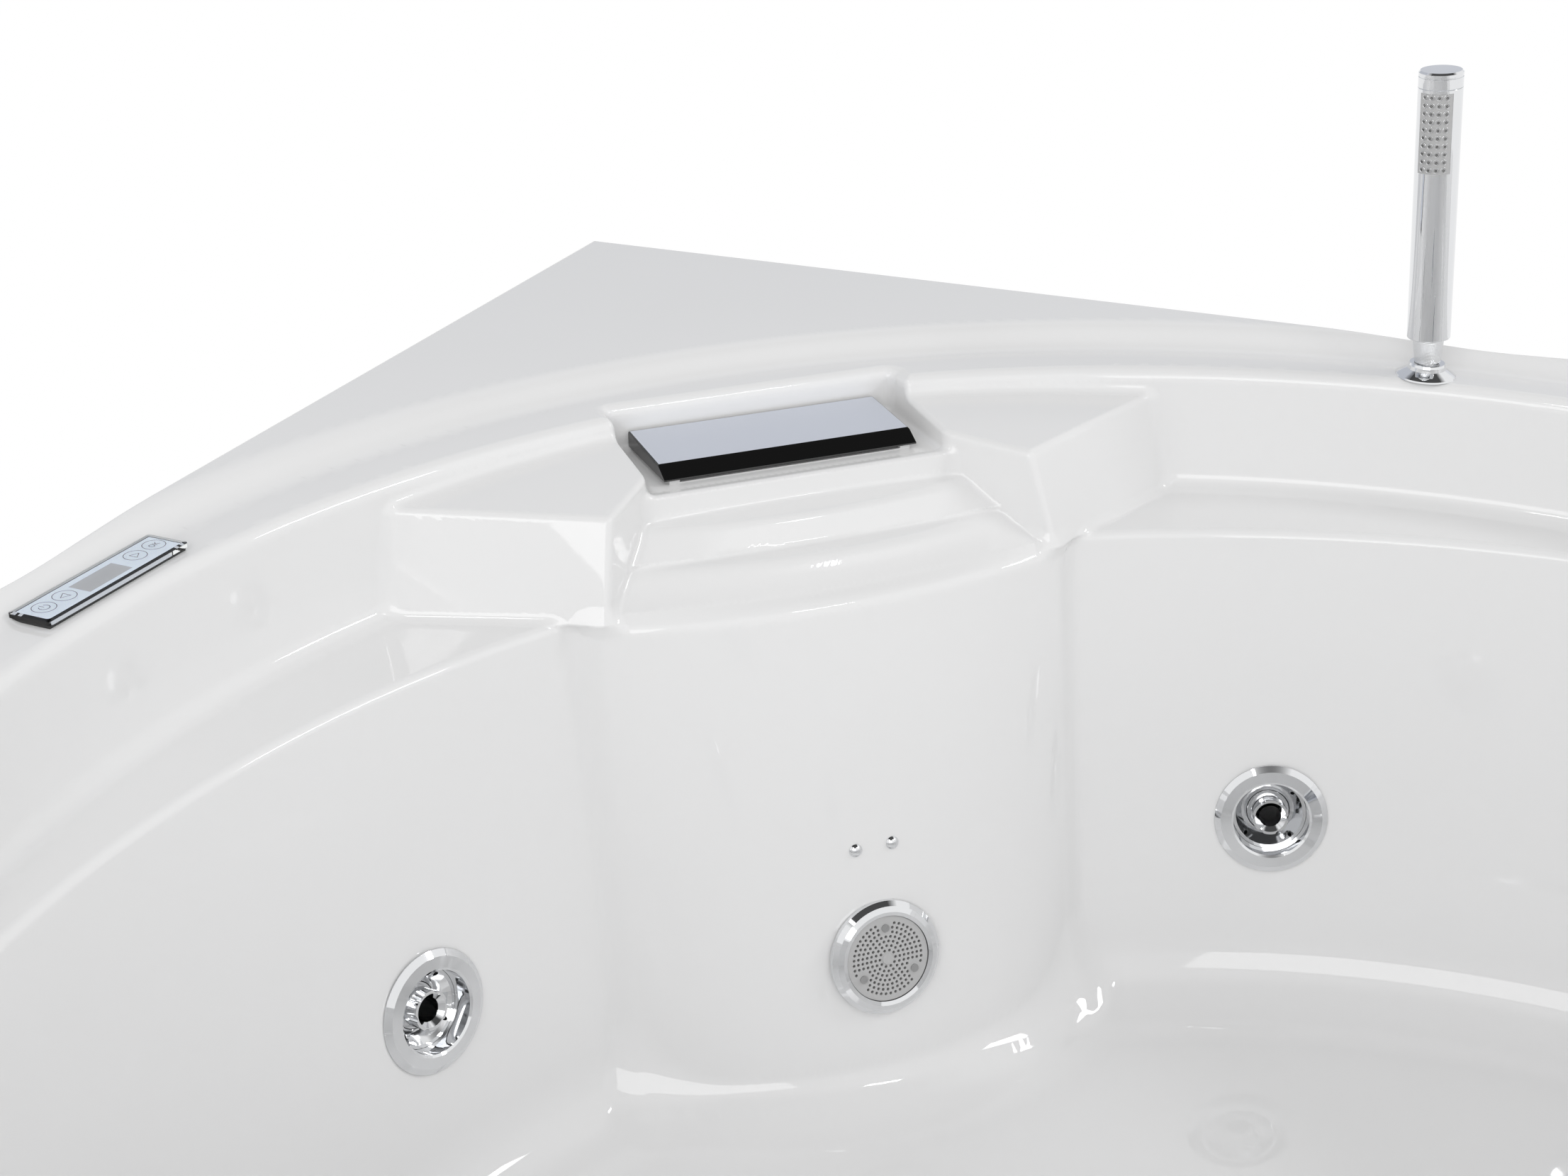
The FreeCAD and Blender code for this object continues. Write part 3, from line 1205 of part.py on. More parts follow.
def volute():
    """The pump's wet end with its inlet in front and its outlet on top."""
    length = VOLUTE_FRONT - VOLUTE_BACK
    case = Part.makeCylinder(VOLUTE_RADIUS, length, Vector(0, 0, VOLUTE_BACK))
    inlet = Part.makeCylinder(30, 22, Vector(0, 0, VOLUTE_FRONT))
    outlet = Part.makeCylinder(22, 80, Vector(0, 0, 0), Vector(0, -1, 0))
    chamber = Part.makeCylinder(VOLUTE_RADIUS - 10, length - 14, Vector(0, 0, VOLUTE_BACK + 8))
    ways = [chamber,
            Part.makeCylinder(mm("pipe_radius") - 3, 60, Vector(0, 0, VOLUTE_FRONT - 10)),
            Part.makeCylinder(17, 90, Vector(0, 0, 0), Vector(0, -1, 0)),
            Part.makeCylinder(SHAFT + 0.05, 30, Vector(0, 0, VOLUTE_BACK - 10))]
    return case.multiFuse([inlet, outlet]).cut(ways[0].multiFuse(ways[1:]))


def impeller():
    """The impeller with six curved vanes on its shaft."""
    disc = Part.makeCylinder(50, 4, Vector(0, 0, VOLUTE_BACK + 12))
    hub = Part.makeCylinder(13, 18, Vector(0, 0, VOLUTE_BACK + 12))
    vanes = []
    for step in range(6):
        bend = Part.makeCylinder(45, 12, Vector(30, 0, VOLUTE_BACK + 15)).cut(
            Part.makeCylinder(42, 12, Vector(30, 0, VOLUTE_BACK + 15)))
        vane = bend.common(Part.makeBox(60, 60, 40, Vector(-60, 0, VOLUTE_BACK)))
        vane = vane.common(Part.makeCylinder(48, 40, Vector(0, 0, VOLUTE_BACK)))
        vane.rotate(Vector(0, 0, 0), Vector(0, 0, 1), 60 * step)
        vanes.append(vane)
    shaft = Part.makeCylinder(SHAFT, 70, Vector(0, 0, VOLUTE_BACK - 55))
    return disc.multiFuse([hub, shaft] + vanes)


shaped("pump_motor", motor(), pump_place)
shaped("pump_volute", volute(), pump_place)
shaped("pump_impeller", impeller(), pump_place)

PLATE_TOP = low_top + 6
pump_x = mm("pump_x")
base_plate = block((pump_x - 40, pump_x + 40), (-330, 0), (low_top, PLATE_TOP))
saddle = block((pump_x - 30, pump_x + 30), (-235, -205), (PLATE_TOP, mm("pump_height")))
saddle = saddle.cut(Part.makeCylinder(mm("motor_radius") + 0.05, 400, Vector(pump_x, 0, mm("pump_height")),
                                      Vector(0, -1, 0)))
foot_block = block((pump_x - 30, pump_x + 30), (-85, -50), (PLATE_TOP, mm("pump_height")))
foot_block = foot_block.cut(Part.makeCylinder(VOLUTE_RADIUS + 0.05, 400,
                                              Vector(pump_x, 0, mm("pump_height")),
                                              Vector(0, -1, 0)))
shaped("pump_base", base_plate.multiFuse([saddle, foot_block]))

pump_mouth = pump_place.multVec(Vector(0, 0, VOLUTE_FRONT + 22))
suction_end = suction_place.multVec(Vector(0, 0, -SUCTION_DEPTH))
suction_way = suction_place.multVec(Vector(0, 0, -SUCTION_DEPTH - 60))
suction_route = [suction_end, suction_way, Vector(-150, 400, 190), Vector(-480, 235, 190),
                 Vector(-690, 60, 195), Vector(pump_x, 60, 205), pump_mouth]
shaped("suction_pipe", tube(suction_route, 26, mm("pipe_radius"), mm("pipe_radius") - 3))

MANIFOLD_HEIGHT = 400
BRANCH_RADIUS = 9
BRANCH_DEPTH = -60


def above(place):
    """The point of the manifold straight above a jet's body."""
    spot = place.multVec(Vector(0, 0, BRANCH_DEPTH))
    return Vector(spot.x, spot.y, MANIFOLD_HEIGHT)


def manifold(route, places):
    """A water pipe with one drop to each jet, fitted to the jets' round bodies."""
    pipe = tube(route, 30, mm("manifold_radius"))
    drops = []
    for place in places:
        top = above(place)
        drops.append(rod(top, Vector(top.x, top.y, mm("jet_height") - 25), BRANCH_RADIUS))
    bodies = []
    for place in places:
        body = Part.makeCylinder(mm("jet_body_radius"), mm("jet_body_depth"),
                                 Vector(0, 0, -mm("jet_body_depth")))
        body.Placement = place
        bodies.append(body)
    return pipe.multiFuse(drops).cut(bodies[0].multiFuse(bodies[1:]) if bodies[1:] else bodies[0])


back_left, back_right, side_left, side_right, front_left, front_right = jet_places
pump_out = pump_place.multVec(Vector(0, -80, 0))
corner = Vector(pump_out.x, pump_out.y, MANIFOLD_HEIGHT)
around = [pump_out, corner, above(side_left), above(back_left), Vector(-205, 440, MANIFOLD_HEIGHT),
          Vector(205, 440, MANIFOLD_HEIGHT), above(back_right), above(side_right),
          Vector(690, -60, MANIFOLD_HEIGHT), Vector(680, -260, MANIFOLD_HEIGHT),
          Vector(450, -600, MANIFOLD_HEIGHT), above(front_right)]
shaped("water_manifold", manifold(around, [side_left, back_left, back_right, side_right,
                                           front_right]))
tee = Vector(pump_out.x, pump_out.y - mm("manifold_radius"), 345)
forward = [tee, Vector(-735, -240, 345), Vector(-620, -380, 380), Vector(-450, -600, 400),
           above(front_left)]
shaped("water_branch", manifold(forward, [front_left]).cut(
    rod(pump_out, corner, mm("manifold_radius"))))

box_middle = Vector(640, WALL_RAIL_BACK - 640, low_top)
box_place = Placement(box_middle, Rotation(Vector(0, 0, 1), -45))
CONTROL_BOX = (200, 70, 130)
box_solid = block((-100, 100), (-45, 25), (0, CONTROL_BOX[2]))
box_solid = box_solid.makeFillet(6, [edge for edge in box_solid.Edges
                                     if edge.BoundBox.ZLength > 100])
shaped("control_box", box_solid.cut(block((-96, 96), (-41, 21), (4, CONTROL_BOX[2] - 4))),
       box_place)
gland = Part.makeCylinder(9, 8, Vector(0, 0, CONTROL_BOX[2])).fuse(
    Part.makeCone(8, 5, 10, Vector(0, 0, CONTROL_BOX[2] + 8)))
gland = gland.cut(Part.makeCylinder(3.6, 40, Vector(0, 0, CONTROL_BOX[2] - 5)))
shaped("cable_glands", Part.makeCompound([gland.translated(Vector(-40, -10, 0)),
                                          gland.translated(Vector(40, -10, 0))]), box_place)


# --- check every object and write the pieces -----------------------------------------------------

doc.recompute()
for thing in doc.Objects:
    if "Invalid" in thing.State or "Error" in thing.State:
        raise RuntimeError(f"{thing.Label} did not compute: {thing.State}")
os.makedirs("parts", exist_ok=True)
for piece in pieces:
    shape = piece.Shape
    if shape.isNull() or not shape.isValid() or not shape.Solids:
        raise RuntimeError(f"{piece.Label} has no valid solid")
for piece in pieces:
    piece.Shape.exportStep(f"parts/{piece.Label}.step")
print(f"{len(pieces)} pieces, {sum(len(piece.Shape.Solids) for piece in pieces)} solids")
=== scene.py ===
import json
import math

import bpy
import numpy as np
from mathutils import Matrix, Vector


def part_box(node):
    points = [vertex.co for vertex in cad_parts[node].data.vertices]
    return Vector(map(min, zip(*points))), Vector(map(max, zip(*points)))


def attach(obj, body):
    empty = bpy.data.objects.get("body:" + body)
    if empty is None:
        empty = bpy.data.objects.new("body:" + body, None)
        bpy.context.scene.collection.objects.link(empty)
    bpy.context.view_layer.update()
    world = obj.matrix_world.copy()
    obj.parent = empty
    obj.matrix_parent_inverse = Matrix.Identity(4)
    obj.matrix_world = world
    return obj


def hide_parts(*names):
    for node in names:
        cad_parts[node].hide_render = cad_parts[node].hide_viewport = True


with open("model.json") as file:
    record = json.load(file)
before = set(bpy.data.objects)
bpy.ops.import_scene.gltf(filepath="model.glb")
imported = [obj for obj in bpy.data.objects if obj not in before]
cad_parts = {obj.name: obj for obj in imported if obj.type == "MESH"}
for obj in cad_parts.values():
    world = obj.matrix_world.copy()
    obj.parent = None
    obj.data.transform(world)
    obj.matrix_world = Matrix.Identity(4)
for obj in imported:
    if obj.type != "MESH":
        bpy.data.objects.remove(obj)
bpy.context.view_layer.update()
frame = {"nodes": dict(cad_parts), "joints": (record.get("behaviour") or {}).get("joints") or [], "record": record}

# %% [markdown]
# A corner jetted bathtub, dressed piece by piece around its engineering model.  Most pieces keep
# the solid that came with the frame and get a finish here.  The moulded shell is made anew,
# because a vacuum-formed sheet is soft at every edge, and those soft edges are what a glossy bath
# is recognised by.

MM = 0.001
nodes = frame["nodes"]

# %% [markdown]
# Finishes are written as small formulas.  One class wraps a shader socket, so that a sum or a
# product of two values adds the Math node by itself, and a single method makes every other node.


# %% A socket that understands arithmetic
class Wire:
    """A shader socket; adding or multiplying wires adds the Math nodes."""

    def __init__(self, tree, socket):
        self.tree = tree
        self.socket = socket

    def math(self, operation, *values):
        node = self.tree.nodes.new("ShaderNodeMath")
        node.operation = operation
        for slot, value in zip(node.inputs, values):
            plug(self.tree, slot, value)
        return Wire(self.tree, node.outputs[0])

    def __add__(self, other):
        return self.math("ADD", self, other)

    def __radd__(self, other):
        return self.math("ADD", other, self)

    def __sub__(self, other):
        return self.math("SUBTRACT", self, other)

    def __rsub__(self, other):
        return self.math("SUBTRACT", other, self)

    def __mul__(self, other):
        return self.math("MULTIPLY", self, other)

    def __rmul__(self, other):
        return self.math("MULTIPLY", other, self)

    def __truediv__(self, other):
        return self.math("DIVIDE", self, other)

    def __rtruediv__(self, other):
        return self.math("DIVIDE", other, self)

    def larger(self, other):
        return self.math("MAXIMUM", self, other)

    def clamp(self):
        return self.math("MINIMUM", self.larger(0.0), 1.0)

    def sine(self):
        return self.math("SINE", self)


def plug(tree, slot, value):
    """Give a socket a link or a plain value."""
    if isinstance(value, Wire):
        tree.links.new(value.socket, slot)
    elif value is not None:
        slot.default_value = value


# %% A finish and its nodes
# places of a colour Mix node's sockets: the share, the two colours and the result
MIX_SHARE, MIX_FIRST, MIX_SECOND, MIX_RESULT = 0, 6, 7, 2


class Finish:
    """A material with one Principled shader and short ways to feed it."""

    def __init__(self, name):
        self.material = bpy.data.materials.new(name)
        self.material.use_nodes = True
        self.tree = self.material.node_tree
        self.tree.nodes.clear()
        self.end = self.tree.nodes.new("ShaderNodeOutputMaterial")
        self.shader = self.tree.nodes.new("ShaderNodeBsdfPrincipled")
        self.tree.links.new(self.shader.outputs[0], self.end.inputs["Surface"])

    def node(self, kind, settings=None, out=0, **sockets):
        """Any other node: its type, its settings, then its sockets' values or links."""
        made = self.tree.nodes.new(kind)
        for key, value in (settings or {}).items():
            setattr(made, key, value)
        for key, value in sockets.items():
            plug(self.tree, made.inputs[key.replace("_", " ")], value)
        return Wire(self.tree, made.outputs[out])

    def place(self):
        """Where a point lies on the piece, in metres."""
        return self.node("ShaderNodeTexCoord", out="Object")

    def noise(self, scale, detail):
        """Soft random patches; a larger scale makes smaller ones."""
        return self.node("ShaderNodeTexNoise", None, "Fac", Vector=self.place(), Scale=scale,
                         Detail=detail, Roughness=0.5)

    def mix(self, share, first, second):
        """A colour between two others."""
        made = self.tree.nodes.new("ShaderNodeMix")
        made.data_type = "RGBA"
        plug(self.tree, made.inputs[MIX_SHARE], share)
        plug(self.tree, made.inputs[MIX_FIRST], first)
        plug(self.tree, made.inputs[MIX_SECOND], second)
        return Wire(self.tree, made.outputs[MIX_RESULT])

    def bump(self, height, distance, strength):
        """A normal for a relief whose full height is distance, in metres."""
        return self.node("ShaderNodeBump", None, 0, Height=height, Distance=distance,
                         Strength=strength)

    def set(self, **sockets):
        for key, value in sockets.items():
            plug(self.tree, self.shader.inputs[key.replace("_", " ")], value)
        return self


def grey(level, tint=(0.0, 0.0, 0.0)):
    """A near-neutral colour."""
    return (level + tint[0], level + tint[1], level + tint[2], 1.0)


# %% [markdown]
# The camera stands over the bath's front left edge and looks down into it.  Its place and its
# lens were worked out from the straight wall edges, which meet at a right angle on the real bath.

# %% Camera
CAMERA_PLACE = (-0.539, -0.8525, 1.1038)
CAMERA_PITCH = 65.4
CAMERA_HEADING = -22.68
LENS = 52.94
camera_data = bpy.data.cameras.new("camera")
camera_data.lens = LENS
camera_data.sensor_width = 36.0
camera_data.clip_start = 0.05
camera = bpy.data.objects.new("camera", camera_data)
bpy.context.scene.collection.objects.link(camera)
camera.location = CAMERA_PLACE
camera.rotation_euler = (math.radians(CAMERA_PITCH), 0.0, math.radians(CAMERA_HEADING))
bpy.context.scene.camera = camera
bpy.context.scene.view_settings.view_transform = "Standard"
print("camera", tuple(round(c, 3) for c in camera.location), "lens", LENS)

# %% [markdown]
# The shell.  On the real bath this is one sheet of cast acrylic, heated and sucked into a mould.
# It could be modelled by hand with subdivision surfaces, but every wall here leans, bows and runs
# into the next one with a rounded joint.  So the shape is written as a distance field: each
# hollow and each block is a short formula, and a rounded minimum joins two of them with a fillet.
# The zero level of the field is then meshed.  All lengths in this part are in millimetres.


# %% Rounded joints between fields
def join(a, b, radius):
    """Union of two fields with a round fillet."""
    u = np.maximum(radius - a, 0.0)
    v = np.maximum(radius - b, 0.0)
    return np.maximum(radius, np.minimum(a, b)) - np.hypot(u, v)


def meet(a, b, radius):
    """Intersection of two fields with a round edge."""
    return -join(-a, -b, radius)


def cut(a, b, radius):
    """The first field without the second, with a round edge."""
    return meet(a, -b, radius)


# %% [markdown]
# The plan of the bowl is a ring of tangent arcs: a wide arc behind, one round each front corner
# and a flatter one in front.  The upper well and the lower basin both have such a plan.

# %% A ring of tangent arcs
def ring(x, y, centre, radius, sweep, corner, front):
    """Distance in plan to the ring; negative inside."""
    half = math.radians(sweep)
    corner_x = (radius - corner) * math.sin(half)
    corner_y = centre + (radius - corner) * math.cos(half)
    reach = -front - corner
    front_centre = (corner_x ** 2 + corner_y ** 2 - reach ** 2) / (2 * reach + 2 * corner_y)
    front_radius = np.hypot(corner_x, corner_y - front_centre) + corner
    side = np.abs(x)
    behind = np.arctan2(side, y - centre) < half
    ahead = np.arctan2(side, front_centre - y) < np.arctan2(corner_x, front_centre - corner_y)
    back_arc = np.hypot(side, y - centre) - radius
    front_arc = np.hypot(side, y - front_centre) - front_radius
    corner_arc = np.hypot(side - corner_x, y - corner_y) - corner
    return np.where(behind, back_arc, np.where(ahead, front_arc, corner_arc))


# %% [markdown]
# The deck from above.  Two straight edges lie against the room's walls and meet in its corner.  A
# short return leaves the far end of each edge at a right angle, and one wide arc closes the
# front.  A drawn curve could be extruded just as well, but an outline that is a distance can be
# rounded into everything else.

# %% Heights and outline of the moulding
DECK, LIP_FOOT = 600.0, 560.0
RIM, LEDGE, FLOOR = 587.0, 504.0, 176.0
REACH, SIDE_RETURN, WALL_SIDE = 825.0, 350.0, 1400.0
RETURN_ROUND, BACK_CORNER, WALL_CORNER = 18.0, 1.0, 26.0
BACK_CORNER_HALF = 200.0
ROOT = math.sqrt(0.5)


def outline(x, y):
    """Distance in plan to the bath's outline: two walls, two returns and the round front."""
    side = np.abs(x)
    wall = (side + y - REACH) * ROOT
    end_x, end_y = WALL_SIDE * ROOT, REACH - WALL_SIDE * ROOT
    front_x, front_y = end_x - SIDE_RETURN * ROOT, end_y - SIDE_RETURN * ROOT
    turn = (side - y - (end_x - end_y)) * ROOT
    rise = front_y + REACH
    radius = (front_x ** 2 + rise ** 2) / (2 * rise)
    centre = radius - REACH
    bow = np.hypot(side, y - centre) - radius
    away = math.hypot(front_x, front_y - centre)
    beyond = (side * (centre - front_y) - (centre - y) * front_x) / away
    flank = np.maximum(turn, -beyond)
    corner = np.where(side > BACK_CORNER_HALF, WALL_CORNER, BACK_CORNER)
    return meet(join(bow, flank, RETURN_ROUND), wall, corner)


# %% [markdown]
# Each hollow and each block below has its own formula.  A length that changes with the height is
# a pair: its value at the foot, and what it gains up to the top.

# %% Well and basin
def at(length, share):
    """A (start, gain) length at a share of the height."""
    return length[0] + length[1] * share


WELL_DRAFT, LEDGE_ROUND = 9.0, 12.0


def well(x, y, z):
    """The upper well with its slight draft, down to the ledge."""
    draft = WELL_DRAFT / (RIM - LEDGE)
    wall = ring(x, y, centre=-163.0, radius=643.0, sweep=105.0, corner=340.0, front=-740.0)
    return meet(wall - draft * (z - RIM), LEDGE - z, LEDGE_ROUND)


BASIN_RADIUS, BASIN_CORNER, BASIN_FRONT = (612.0, 59.0), (300.0, 50.0), (-600.0, -112.0)
BASIN_LEAN, FLOOR_ROUND = 0.975, 50.0


def basin(x, y, z):
    """The lower basin: a leaning wall and a wide round floor edge."""
    share = (z - FLOOR) / (LEDGE - FLOOR)
    wall = ring(x, y, centre=-287.0, radius=at(BASIN_RADIUS, share), sweep=57.0,
                corner=at(BASIN_CORNER, share), front=at(BASIN_FRONT, share))
    return meet(wall * BASIN_LEAN, FLOOR - z, FLOOR_ROUND)


# %% [markdown]
# Two shelves stand beside the spout, wide enough for soap or a glass.  On the real bath they are
# part of the same sheet.  Each is a block with a slanting front and a top that falls slightly
# towards the bather, so that water runs off, and the spout's channel is cut out between them.

# %% Shelves beside the spout
CHEEK_X, CHEEK_Y, CHANNEL_BACK = 98.0, 408.0, 430.0
CHEEK_FLARE, CHEEK_FLARE_FROM = 0.11, 494.0
CHEEK_NORMAL_X, CHEEK_NORMAL_Y, CHEEK_NORMAL = 54.0, 47.0, 71.6


def channel(x, y, z):
    """The space in front of the spout, between two slanting cheeks."""
    flare = CHEEK_FLARE * (z - CHEEK_FLARE_FROM)
    cheek = ((np.abs(x) - CHEEK_X - flare) * CHEEK_NORMAL_X
             + (y - CHEEK_Y) * CHEEK_NORMAL_Y) / CHEEK_NORMAL
    return np.maximum(cheek, y - CHANNEL_BACK)


WING_TIP, WING_OUTER = (342.0, 25.0), (435.0, 13.0)
WING_RISE, WING_START, WING_SPAN = 61.0, 144.0, 186.0
WING_TOP, WING_TOP_SLOPE, WING_TOP_FROM = 565.0, 0.09, 367.0
WING_EDGE, CHEEK_EDGE = 3.5, 4.0
WING_RECEDES, WING_ROOT = 1.2, 40.0


def wings(x, y, z):
    """The two shelves beside the spout; below the ledge their blocks draw back into the wall."""
    share = np.maximum((z - LEDGE) / WING_RISE, 0.0)
    recede = WING_RECEDES * np.maximum(LEDGE - z, 0.0)
    tip = at(WING_TIP, share) + recede
    outer = at(WING_OUTER, share) + recede
    slope = (outer - tip) / WING_SPAN
    face = (tip + (np.abs(x) - WING_START) * slope - y) / np.sqrt(1.0 + slope ** 2)
    top = z - (WING_TOP + WING_TOP_SLOPE * (y - WING_TOP_FROM))
    block = cut(meet(face, top, WING_EDGE), channel(x, y, z), CHEEK_EDGE)
    return np.maximum(block, LEDGE - WING_ROOT - z)


# %% [markdown]
# The water leaves the spout and runs over three steps.  Each step bows out towards its sides and
# has a leaning riser, a soft lip and a soft crease, so its lip and its crease are given as two
# bowed lines, and the riser runs between them.

# %% Cascade
# lip and crease of each step: Y at the middle, extra Y at BOW_REACH to the side, height
CASCADE = (((406.0, 0.0, 558.0), (403.0, 0.0, 543.0)),
           ((381.0, 19.0, 540.0), (373.0, 6.0, 525.0)),
           ((357.0, 19.0, 522.0), (345.0, 9.0, 507.0)))
BOW_REACH, CASCADE_HALF = 120.0, 175.0
RISER_LEAN, TREAD_SLOPE = 0.9, 0.12
LIP_ROUND, CREASE_ROUND = 3.0, 3.0


def cascade(x, y, z):
    """The three rounded steps that the waterfall runs over."""
    spread = (x / BOW_REACH) ** 2
    steps = None
    for (lip_y, lip_bow, lip_z), (foot_y, foot_bow, foot_z) in CASCADE:
        share = np.maximum((z - foot_z) / (lip_z - foot_z), 0.0)
        lip = lip_y + lip_bow * spread
        foot = foot_y + foot_bow * spread
        face = (foot + (lip - foot) * share - y) * RISER_LEAN
        step = meet(face, z - lip_z - TREAD_SLOPE * (y - lip), LIP_ROUND)
        steps = step if steps is None else join(steps, step, CREASE_ROUND)
    return np.maximum(steps, np.abs(x) - CASCADE_HALF)


# %% [markdown]
# Below the cascade the wall swells into the bath.  This panel carries the suction fitting and the
# level sensors, and its bow gets flatter towards the ledge.  Behind the first step a shallow
# pocket holds the spout.

# %% Convex panel and the spout's pocket
PANEL_SIDE, PANEL_MIDDLE = (308.0, 45.0), (247.0, 81.0)
PANEL_HALF, PANEL_LEAN = 169.0, 0.97
PANEL_SIDE_ROUND, PANEL_TOP_ROUND = 14.0, 8.0


def back_panel(x, y, z):
    """The convex panel below the cascade."""
    share = (z - FLOOR) / (LEDGE - FLOOR)
    middle = at(PANEL_MIDDLE, share)
    bow = at(PANEL_SIDE, share) - middle
    radius = (PANEL_HALF ** 2 + bow ** 2) / (2 * bow)
    bulge = np.hypot(x, y - middle - radius) - radius
    bulge = np.where(y > middle + radius, np.abs(x) - radius, bulge) * PANEL_LEAN
    bulge = meet(bulge, np.abs(x) - PANEL_HALF, PANEL_SIDE_ROUND)
    return meet(bulge, z - LEDGE, PANEL_TOP_ROUND)


POCKET_HALF, POCKET_BACK, POCKET_FRONT, POCKET_FLOOR = 103.0, 493.0, 404.0, 556.0
SILL_FRONT, SILL_SLOPE = 414.0, 0.3


def pocket(x, y, z):
    """The recess that the spout stands in, open to the front above the first lip."""
    plan = meet(np.abs(x) - POCKET_HALF, y - POCKET_BACK, 6.0)
    plan = meet(plan, POCKET_FRONT - y, 2.0)
    bottom = POCKET_FLOOR + (y < SILL_FRONT) * (SILL_FRONT - y) * SILL_SLOPE
    return meet(plan, bottom - z, 5.0)


# %% [markdown]
# Now the forms are put together, the two hollows first, then the blocks, and the pocket last.
# Each joint has its own fillet: a small one where the mould has a crisp corner, a large one where
# the panel meets the floor.

# %% The whole moulding
PANEL_FILLET, PANEL_FLARE, FLARE_TOP, FLARE_HEIGHT = 12.0, 30.0, 240.0, 50.0


def space(x, y, z):
    """Everything that is open inside the bath; the last value of each call is the fillet."""
    flare = PANEL_FLARE * np.clip((FLARE_TOP - z) / FLARE_HEIGHT, 0.0, 1.0)
    hollow = join(well(x, y, z), basin(x, y, z), 5.0)
    hollow = cut(hollow, wings(x, y, z), 6.0)
    hollow = cut(hollow, cascade(x, y, z), 5.0)
    hollow = cut(hollow, back_panel(x, y, z), PANEL_FILLET + flare)
    return join(hollow, pocket(x, y, z), 4.0)


STEP_RUN, STEP_RISE, STEP_LEAN = 12.0, 13.0, 0.74
REAR_CONE, ROUND_CONE = (140.0, 668.0), (163.0, 678.0)


def recess(x, y, z):
    """The step from the raised deck down to the rim: two cones, by centre and radius."""
    rise = (z - RIM) * STEP_RUN / STEP_RISE
    rear, around = (np.hypot(x, y + centre) - radius - rise
                    for centre, radius in (REAR_CONE, ROUND_CONE))
    return meet(np.minimum(rear, around) * STEP_LEAN, RIM - z, 8.0)


def moulding(x, y, z):
    """The whole moulding's upper side: negative in the material."""
    deck = meet(outline(x, y), z - DECK, 3.0)
    deck = cut(deck, recess(x, y, z), 8.0)
    return cut(deck, space(x, y, z), 8.0)


# %% [markdown]
# The grid is turned by 45 degrees, so that the bath's two long wall edges lie along it and come
# out dead straight.  It is fine around the spout and above the ledge, and coarser where the walls
# are plain.

# %% Grid lines
def lines(stops):
    """Positions from (place, spacing to the next stop) pairs."""
    places = []
    for (start, step), (end, _) in zip(stops[:-1], stops[1:]):
        count = max(1, round((end - start) / step))
        places.append(np.linspace(start, end, count, endpoint=False))
    return np.concatenate(places + [[stops[-1][0]]])


COARSE, FINE = ((7.0, 3.6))
EDGE = 2.0
across = lines([(-846.0, COARSE), (100.0, FINE), (480.0, COARSE), (575.0, EDGE),
                (589.0, EDGE)])
upright = lines([(166.0, COARSE), (488.0, FINE), (593.0, EDGE), (603.0, EDGE)])
print("grid", len(across), "x", len(across), "x", len(upright))

grid_u, grid_v, grid_z = np.meshgrid(across, across, upright, indexing="ij")
values = np.empty(grid_u.shape, np.float32)
for layer in range(len(upright)):
    u, v = grid_u[:, :, layer], grid_v[:, :, layer]
    values[:, :, layer] = moulding((u - v) * ROOT, (u + v) * ROOT, upright[layer])
del grid_u, grid_v, grid_z


# %% [markdown]
# Surface nets: each grid cell that the surface passes through gets one point, and each grid edge
# that it crosses gets one quad between the four cells around it.  The points are then drawn onto
# the exact surface along its slope, so the mesh is as true as the formulas.

# %% Mesh the zero level
def surface_net(field, axes):
    """Points and quads where the field changes sign."""
    shape = np.array(field.shape) - 1
    total = np.zeros((int(np.prod(shape)), 3))
    count = np.zeros(len(total))
    quads = []
    for axis in range(3):
        low = [slice(None)] * 3
        high = [slice(None)] * 3
        low[axis], high[axis] = slice(None, -1), slice(1, None)
        first, second = field[tuple(low)], field[tuple(high)]
        spots = np.argwhere((first < 0) != (second < 0))
        a = first[tuple(spots.T)]
        b = second[tuple(spots.T)]
        share = a / (a - b)
        points = np.stack([axes[k][spots[:, k]] for k in range(3)], 1)
        step = axes[axis][spots[:, axis] + 1] - axes[axis][spots[:, axis]]
        points[:, axis] += share * step
        one, two = [k for k in range(3) if k != axis]
        inner = np.ones(len(spots), bool)
        around = []
        for shift_one, shift_two in ((0, 0), (-1, 0), (-1, -1), (0, -1)):
            cell = spots.copy()
            cell[:, one] += shift_one
            cell[:, two] += shift_two
            good = np.all((cell >= 0) & (cell < shape), axis=1)
            number = np.where(good, np.ravel_multi_index(np.clip(cell, 0, shape - 1).T, shape), -1)
            for k in range(3):
                total[:, k] += np.bincount(number[good], points[good, k], len(total))
            count += np.bincount(number[good], None, len(total))
            inner &= good
            around.append(number)
        faces = np.stack(around, 1)[inner]
        rising = (b > a)[inner]
        if axis == 1:
            rising = ~rising
        faces[~rising] = faces[~rising][:, ::-1]
        quads.append(faces)
    used = np.flatnonzero(count)
    number = np.full(len(total), -1)
    number[used] = np.arange(len(used))
    return total[used] / count[used, None], number[np.concatenate(quads)]


def slope_of(field, points, step=0.3):
    """The field's gradient at points."""
    slope = np.empty_like(points)
    for k in range(3):
        ahead, back = points.copy(), points.copy()
        ahead[:, k] += step
        back[:, k] -= step
        slope[:, k] = (field(*ahead.T) - field(*back.T)) / (2 * step)
    return slope


SETTLE_ROUNDS, LEAST_SLOPE, LONGEST_MOVE = 5, 0.2, 3.0


